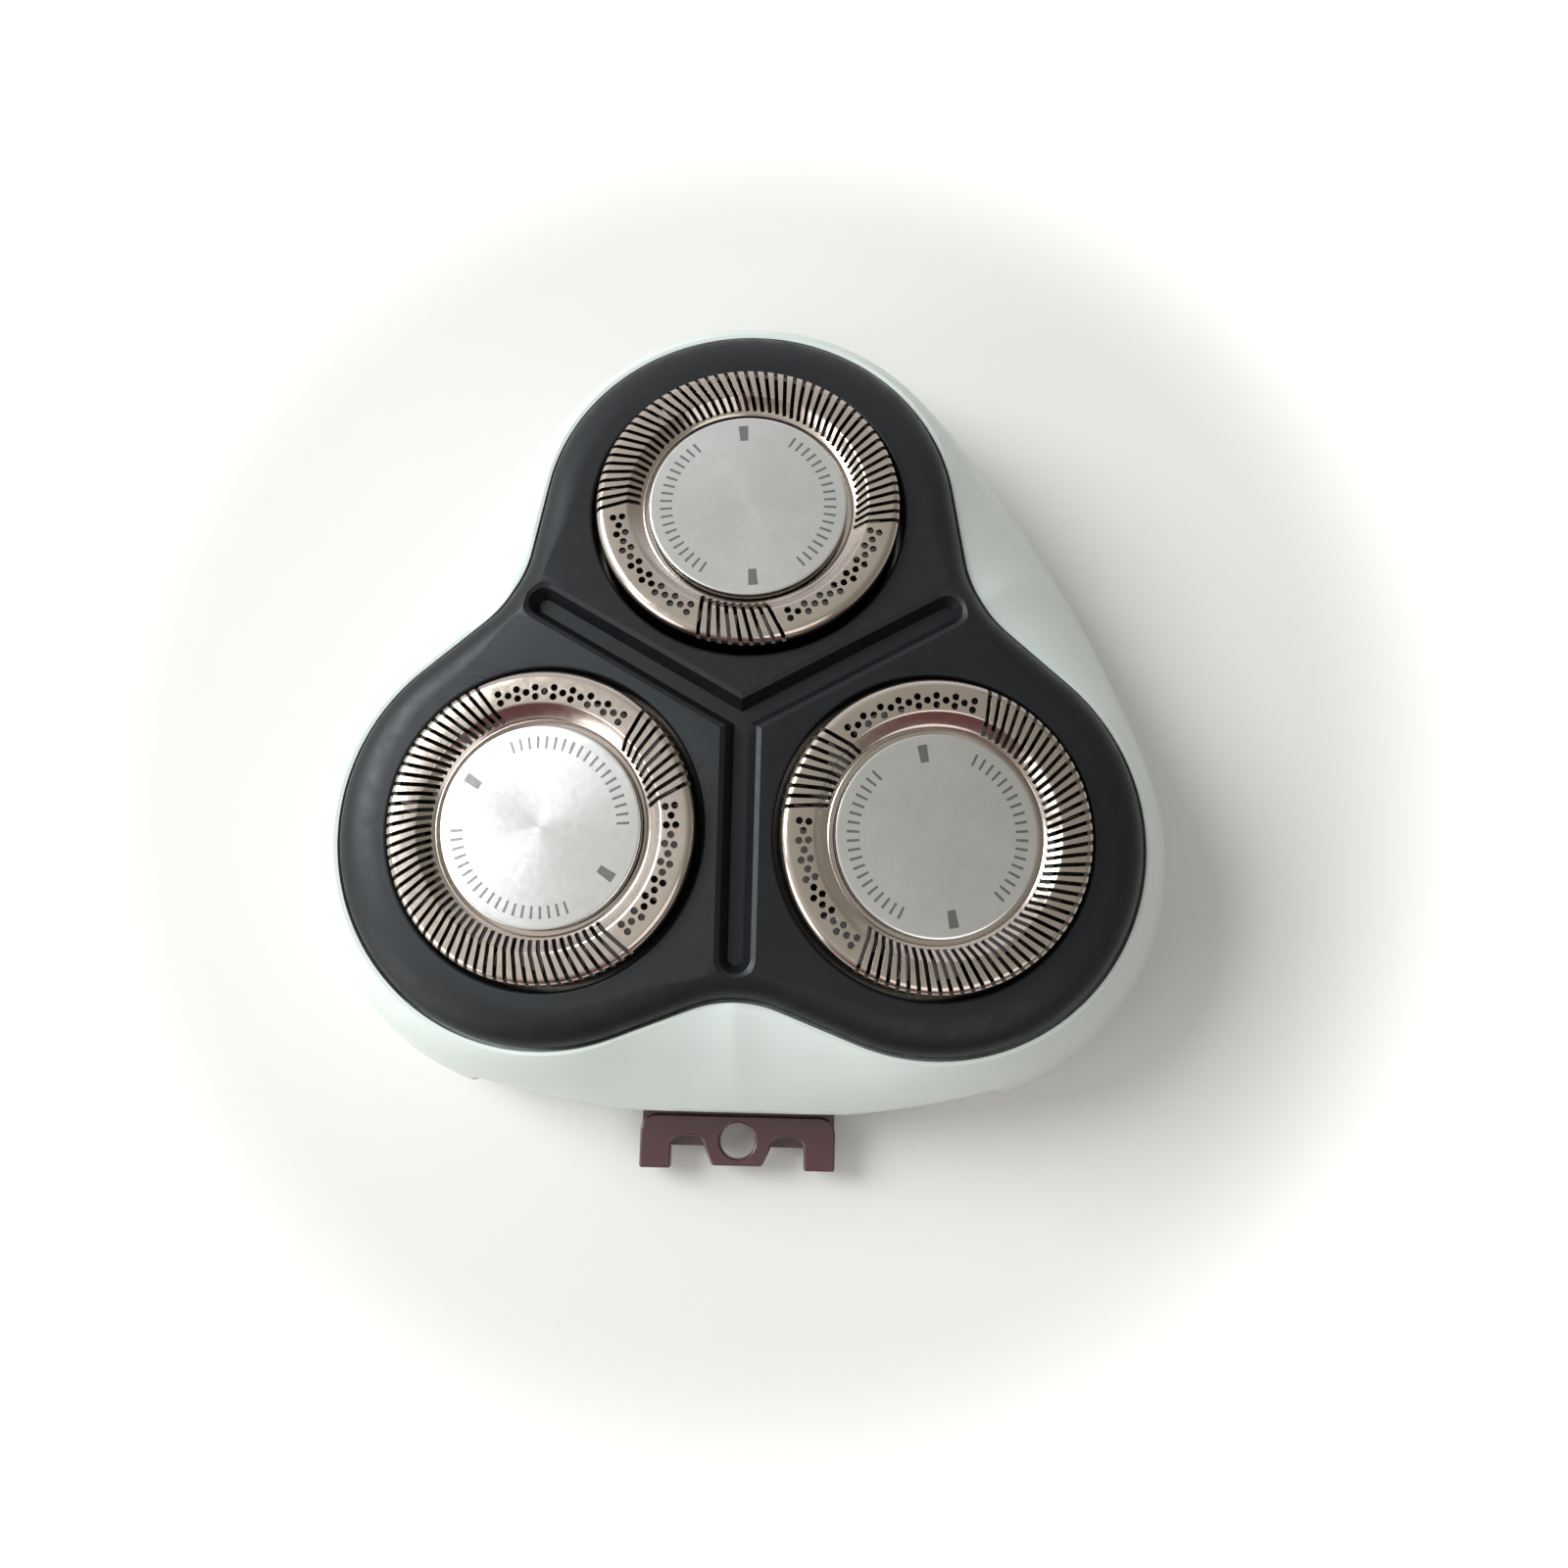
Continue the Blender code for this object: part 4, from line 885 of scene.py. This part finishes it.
def make_bracket(material):
    """The clip with a hole in its tongue, on a lower ledge that joins it to its barrel."""
    place = Matrix.Translation(AXIS + HINGE)
    half, high = BRACKET_WIDTH / 2, BRACKET_THICKNESS / 2
    bm = bmesh.new()
    outline = bracket_outline()
    layers(bm, [[Vector((*point, z)) for point in outline] for z in (-high, high)])
    bracket = mesh_object("hinge_clip", bm, place)
    combine(bracket, mesh_object("clip_hole", tongue_hole(), place))
    round_edges(bracket, BRACKET_ROUNDING, segments=BRACKET_SEGMENTS, clamp=False)
    ledge = bmesh.new()
    block(ledge, (ROOT_SIDE - half, half - ROOT_SIDE), (ROOT_FRONT, 0), (ROOT_BOTTOM, ROOT_TOP))
    root = mesh_object("clip_root", ledge, place)
    combine(root, mesh_object("root_hole", tongue_hole(), place))
    combine(bracket, root, "UNION")
    barrel = bmesh.new()
    rod(barrel, BARREL_RADIUS, -half, half, ROD_STEPS, turned(pi / 2, "Y"))
    combine(bracket, mesh_object("clip_barrel", barrel, place), "UNION")
    combine(bracket, mesh_object("clip_bore", pin_bore(BRACKET_WIDTH), place))
    finish_piece(bracket, material, "hinge_bracket", "bracket")


def guard_profile():
    """The cup's section, from the middle of its well over the track to the flange and back inside."""
    wall = GUARD_WALL
    flange_top = FLANGE_THICKNESS - GUARD_DEPTH
    slope = atan2(STEP_DEPTH, TRACK_INNER_RADIUS - STEP_RADIUS)
    lip = [(WELL_RADIUS, -WELL_LIP_DEPTH),
           (WELL_RADIUS + WELL_LIP_BEVEL[0], -WELL_LIP_DEPTH + WELL_LIP_BEVEL[1]),
           (STEP_RADIUS - STEP_BEVEL[0], -STEP_DEPTH - STEP_BEVEL[1]), (STEP_RADIUS, -STEP_DEPTH)]
    for i in range(TRACK_EDGE_STEPS + 1):
        angle = slope * (1 - i / TRACK_EDGE_STEPS)
        lip.append((TRACK_INNER_RADIUS + TRACK_ROUNDING * (tan(slope / 2) - sin(angle)),
                    TRACK_ROUNDING * (cos(angle) - 1)))
    shoulder = [(GUARD_RADIUS - TRACK_SHOULDER * (1 - sin(angle)), TRACK_SHOULDER * (cos(angle) - 1))
                for angle in quarter(CORNER_STEPS)]
    inside = [(GUARD_RADIUS - wall, -GUARD_DEPTH), (GUARD_RADIUS - wall, -TRACK_SHOULDER),
              (GUARD_RADIUS - TRACK_SHOULDER, -wall), (TRACK_INNER_RADIUS + wall / 2, -wall),
              (WELL_RADIUS + wall, -WELL_LIP_DEPTH - wall / 2), (WELL_RADIUS + wall, -WELL_DEPTH - wall)]
    flange = [(GUARD_RADIUS, flange_top), (GUARD_RADIUS + FLANGE_WIDTH, flange_top),
              (GUARD_RADIUS + FLANGE_WIDTH, -GUARD_DEPTH)]
    start = [(0, -WELL_DEPTH), (WELL_RADIUS, -WELL_DEPTH)]
    return start + lip + shoulder + flange + inside + [(0, -WELL_DEPTH - wall)]


def slot_angles():
    """A long outer group of slots and a short one towards the head's middle."""
    groups = ((0.0, OUTER_SLOTS), (pi, INNER_SLOTS))
    return [middle + SLOT_PITCH * (i - (count - 1) / 2) for middle, count in groups for i in range(count)]


def hole_places():
    """Pairs of holes and single holes by turns, in the two sectors between the slot groups."""
    sector = (2 * pi - SLOT_PITCH * (OUTER_SLOTS + INNER_SLOTS - 2)) / 2
    pairs = int(sector / (2 * SLOT_PITCH))
    places = []
    for side in (-1, 1):
        middle = side * (SLOT_PITCH * (OUTER_SLOTS - 1) + sector) / 2
        for i in range(pairs):
            angle = middle + 2 * SLOT_PITCH * (i - (pairs - 1) / 2)
            places += [(angle, HOLE_RADII[0]), (angle, HOLE_RADII[2])]
            if i < pairs - 1:
                places.append((angle + SLOT_PITCH, HOLE_RADII[1]))
    return places


def guard_slots():
    """Skewed cutters of the slots, whose floors rise towards the outer wall."""
    middle = (TRACK_INNER_RADIUS + GUARD_RADIUS) / 2
    start, end = SLOT_START - middle, GUARD_RADIUS + GUARD_WALL - middle
    section = ((start, -SLOT_DEPTHS[0]), (end, -SLOT_DEPTHS[1]), (end, GUARD_WALL), (start, GUARD_WALL))
    sides = (-SLOT_WIDTH / 2, SLOT_WIDTH / 2)
    bm = bmesh.new()
    for angle in slot_angles():
        lean = turned(angle, "Z") @ moved(middle, 0, 0) @ turned(SLOT_SKEW, "Z")
        layers(bm, [[lean @ Vector((x, y, z)) for x, z in section] for y in sides])
    return bm


def guard_holes():
    """Cutters of the small round holes in the track."""
    bm = bmesh.new()
    for angle, radius in hole_places():
        place = turned(angle, "Z") @ moved(radius, 0, 0)
        rod(bm, HOLE_RADIUS, -2 * GUARD_WALL, GUARD_WALL, HOLE_STEPS, place)
    return bm


def make_guard(number, material):
    place = lobe_matrix(number) @ turned(GUARD_TURNS[number - 1], "Z")
    bm = bmesh.new()
    turn(bm, guard_profile(), CUP_STEPS)
    guard = mesh_object(f"slotted_guard_{number}", bm, place)
    combine(guard, mesh_object("slot_tool", guard_slots(), place))
    combine(guard, mesh_object("hole_tool", guard_holes(), place))
    round_edges(guard, RIB_ROUNDING, RIB_ANGLE)
    finish_piece(guard, material, f"guard_{number}", f"guard_{number}_cup")


def make_cover(number, material):
    """A thin disc in the guard's well, with a bevelled rim and a low crown."""
    top = COVER_BOTTOM + COVER_THICKNESS
    step = COVER_BEVEL_SHARE * COVER_BEVEL
    profile = [(0, COVER_BOTTOM), (COVER_RADIUS, COVER_BOTTOM), (COVER_RADIUS, top - COVER_BEVEL),
               (COVER_RADIUS - step, top - step), (COVER_RADIUS - COVER_BEVEL, top)]
    inner = COVER_RADIUS - COVER_BEVEL
    profile += [(inner * share, top + COVER_CROWN * (1 - share**2)) for share in COVER_SHARES]
    bm = bmesh.new()
    turn(bm, profile, CUP_STEPS)
    place = lobe_matrix(number) @ turned(COVER_TURNS[number - 1], "Z")
    cover = mesh_object(f"brushed_cover_{number}", bm, place)
    finish_piece(cover, material, f"guard_disc_{number}", f"guard_{number}_cup")


def finish_piece(piece, material, node, body):
    """Shades and dresses a piece, and puts it in its node's place on a body."""
    piece.data.shade_smooth()
    piece.data.set_sharp_from_angle(angle=SMOOTH_ANGLE)
    even_flats(piece)
    dress(piece, material)
    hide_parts(node)
    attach(piece, body)


def smooth_node(node):
    """Joins a frame node's split corners for shading and rounds its hard edges a little."""
    weld = node.modifiers.new("weld", "WELD")
    weld.merge_threshold = WELD_DISTANCE
    round_edges(node, NODE_ROUNDING)
    even_flats(node)
    for polygon in node.data.polygons:
        polygon.use_smooth = True


def add_floor():
    """A pale floor that the camera sees a little brighter than it is lit."""
    bm = bmesh.new()
    bmesh.ops.create_grid(bm, x_segments=1, y_segments=1, size=FLOOR_SIZE)
    floor = mesh_object("floor", bm)
    made = Finish("floor_paint")
    path = made.node("ShaderNodeLightPath")
    lift = made.mapped(made.polar()[0], FLOOR_FADE, FLOOR_LIFT, interpolation_type="SMOOTHSTEP")
    made.set("Emission Color", (*WHITE, 1.0))
    made.set("Emission Strength", made.math("MULTIPLY", path.outputs["Is Camera Ray"], lift))
    dress(floor, made.material)


def add_light(name, place, size, power, colour):
    data = bpy.data.lights.new(name, "AREA")
    data.shape = "DISK"
    data.size = size
    data.energy = power
    data.color = colour
    lamp = bpy.data.objects.new(name, data)
    bpy.context.scene.collection.objects.link(lamp)
    lamp.location = place
    lamp.rotation_euler = (Vector(LAMP_TARGET) - Vector(place)).to_track_quat("-Z", "Y").to_euler()


def add_world():
    """Bright to the left like a window and at the back, darker elsewhere, and white to the camera."""
    world = bpy.data.worlds.new("pale_world")
    bpy.context.scene.world = world
    made = Nodes(world)
    path = made.node("ShaderNodeLightPath")
    direction = made.node("ShaderNodeSeparateXYZ")
    made.feed(made.node("ShaderNodeTexCoord").outputs["Generated"], direction.inputs[0])
    colour = WINDOW_COLOUR
    for axis, spread, further in (("X", WINDOW_SPREAD, FAR_COLOUR), ("Y", FRONT_SPREAD, FRONT_COLOUR),
                                  ("Y", BACK_SPREAD, BACK_COLOUR)):
        colour = made.mixed(made.mapped(direction.outputs[axis], spread, (0, 1)), colour, further)
    background = made.tree.nodes["Background"].inputs
    made.feed(made.mixed(path.outputs["Is Camera Ray"], colour, WHITE), background["Color"])
    strength = made.node("ShaderNodeMix")
    for index, value in zip(MIX_VALUES, (AMBIENT, 1.0)):
        made.feed(value, strength.inputs[index])
    seen = made.math("MAXIMUM", path.outputs["Is Camera Ray"], path.outputs["Is Glossy Ray"])
    made.feed(seen, strength.inputs[0])
    made.feed(strength.outputs[0], background["Strength"])


def add_camera():
    data = bpy.data.cameras.new("photo_camera")
    data.lens = LENS
    data.sensor_width = SENSOR
    data.clip_start = NEAR_CLIP
    camera = bpy.data.objects.new("photo_camera", data)
    bpy.context.scene.collection.objects.link(camera)
    view = turned(CAMERA_ROLL, "Z") @ turned(CAMERA_PITCH, "X") @ turned(CAMERA_PAN, "Y")
    camera.matrix_world = Matrix.Translation(CAMERA_PLACE) @ view.inverted()
    bpy.context.scene.camera = camera


def main():
    bpy.context.scene.view_settings.view_transform = "Standard"
    finishes = {
        "shell": Finish("mint_shell").material,
        "face_plate": Finish("black_plate").material,
        "inner_plastic": Finish("grey_moulding").material,
        "bracket_plastic": Finish("maroon_bracket").material,
        "guard_nickel": guard_metal(),
        "disc_silver": cover_metal(),
        "blade_steel": Finish("blade_steel").material,
        "pin_steel": Finish("blade_steel").material,
    }
    for row in frame["record"]["subparts"]:
        dress(NODES[row["node"]], finishes[row["material_slot"]])
        smooth_node(NODES[row["node"]])
    make_housing(finishes["shell"])
    make_plate(finishes["face_plate"])
    make_bracket(finishes["bracket_plastic"])
    for number in NUMBERS:
        make_guard(number, finishes["guard_nickel"])
        make_cover(number, finishes["disc_silver"])
    add_floor()
    add_world()
    for name, lamp in LAMPS.items():
        add_light(name, *lamp)
    add_camera()


main()
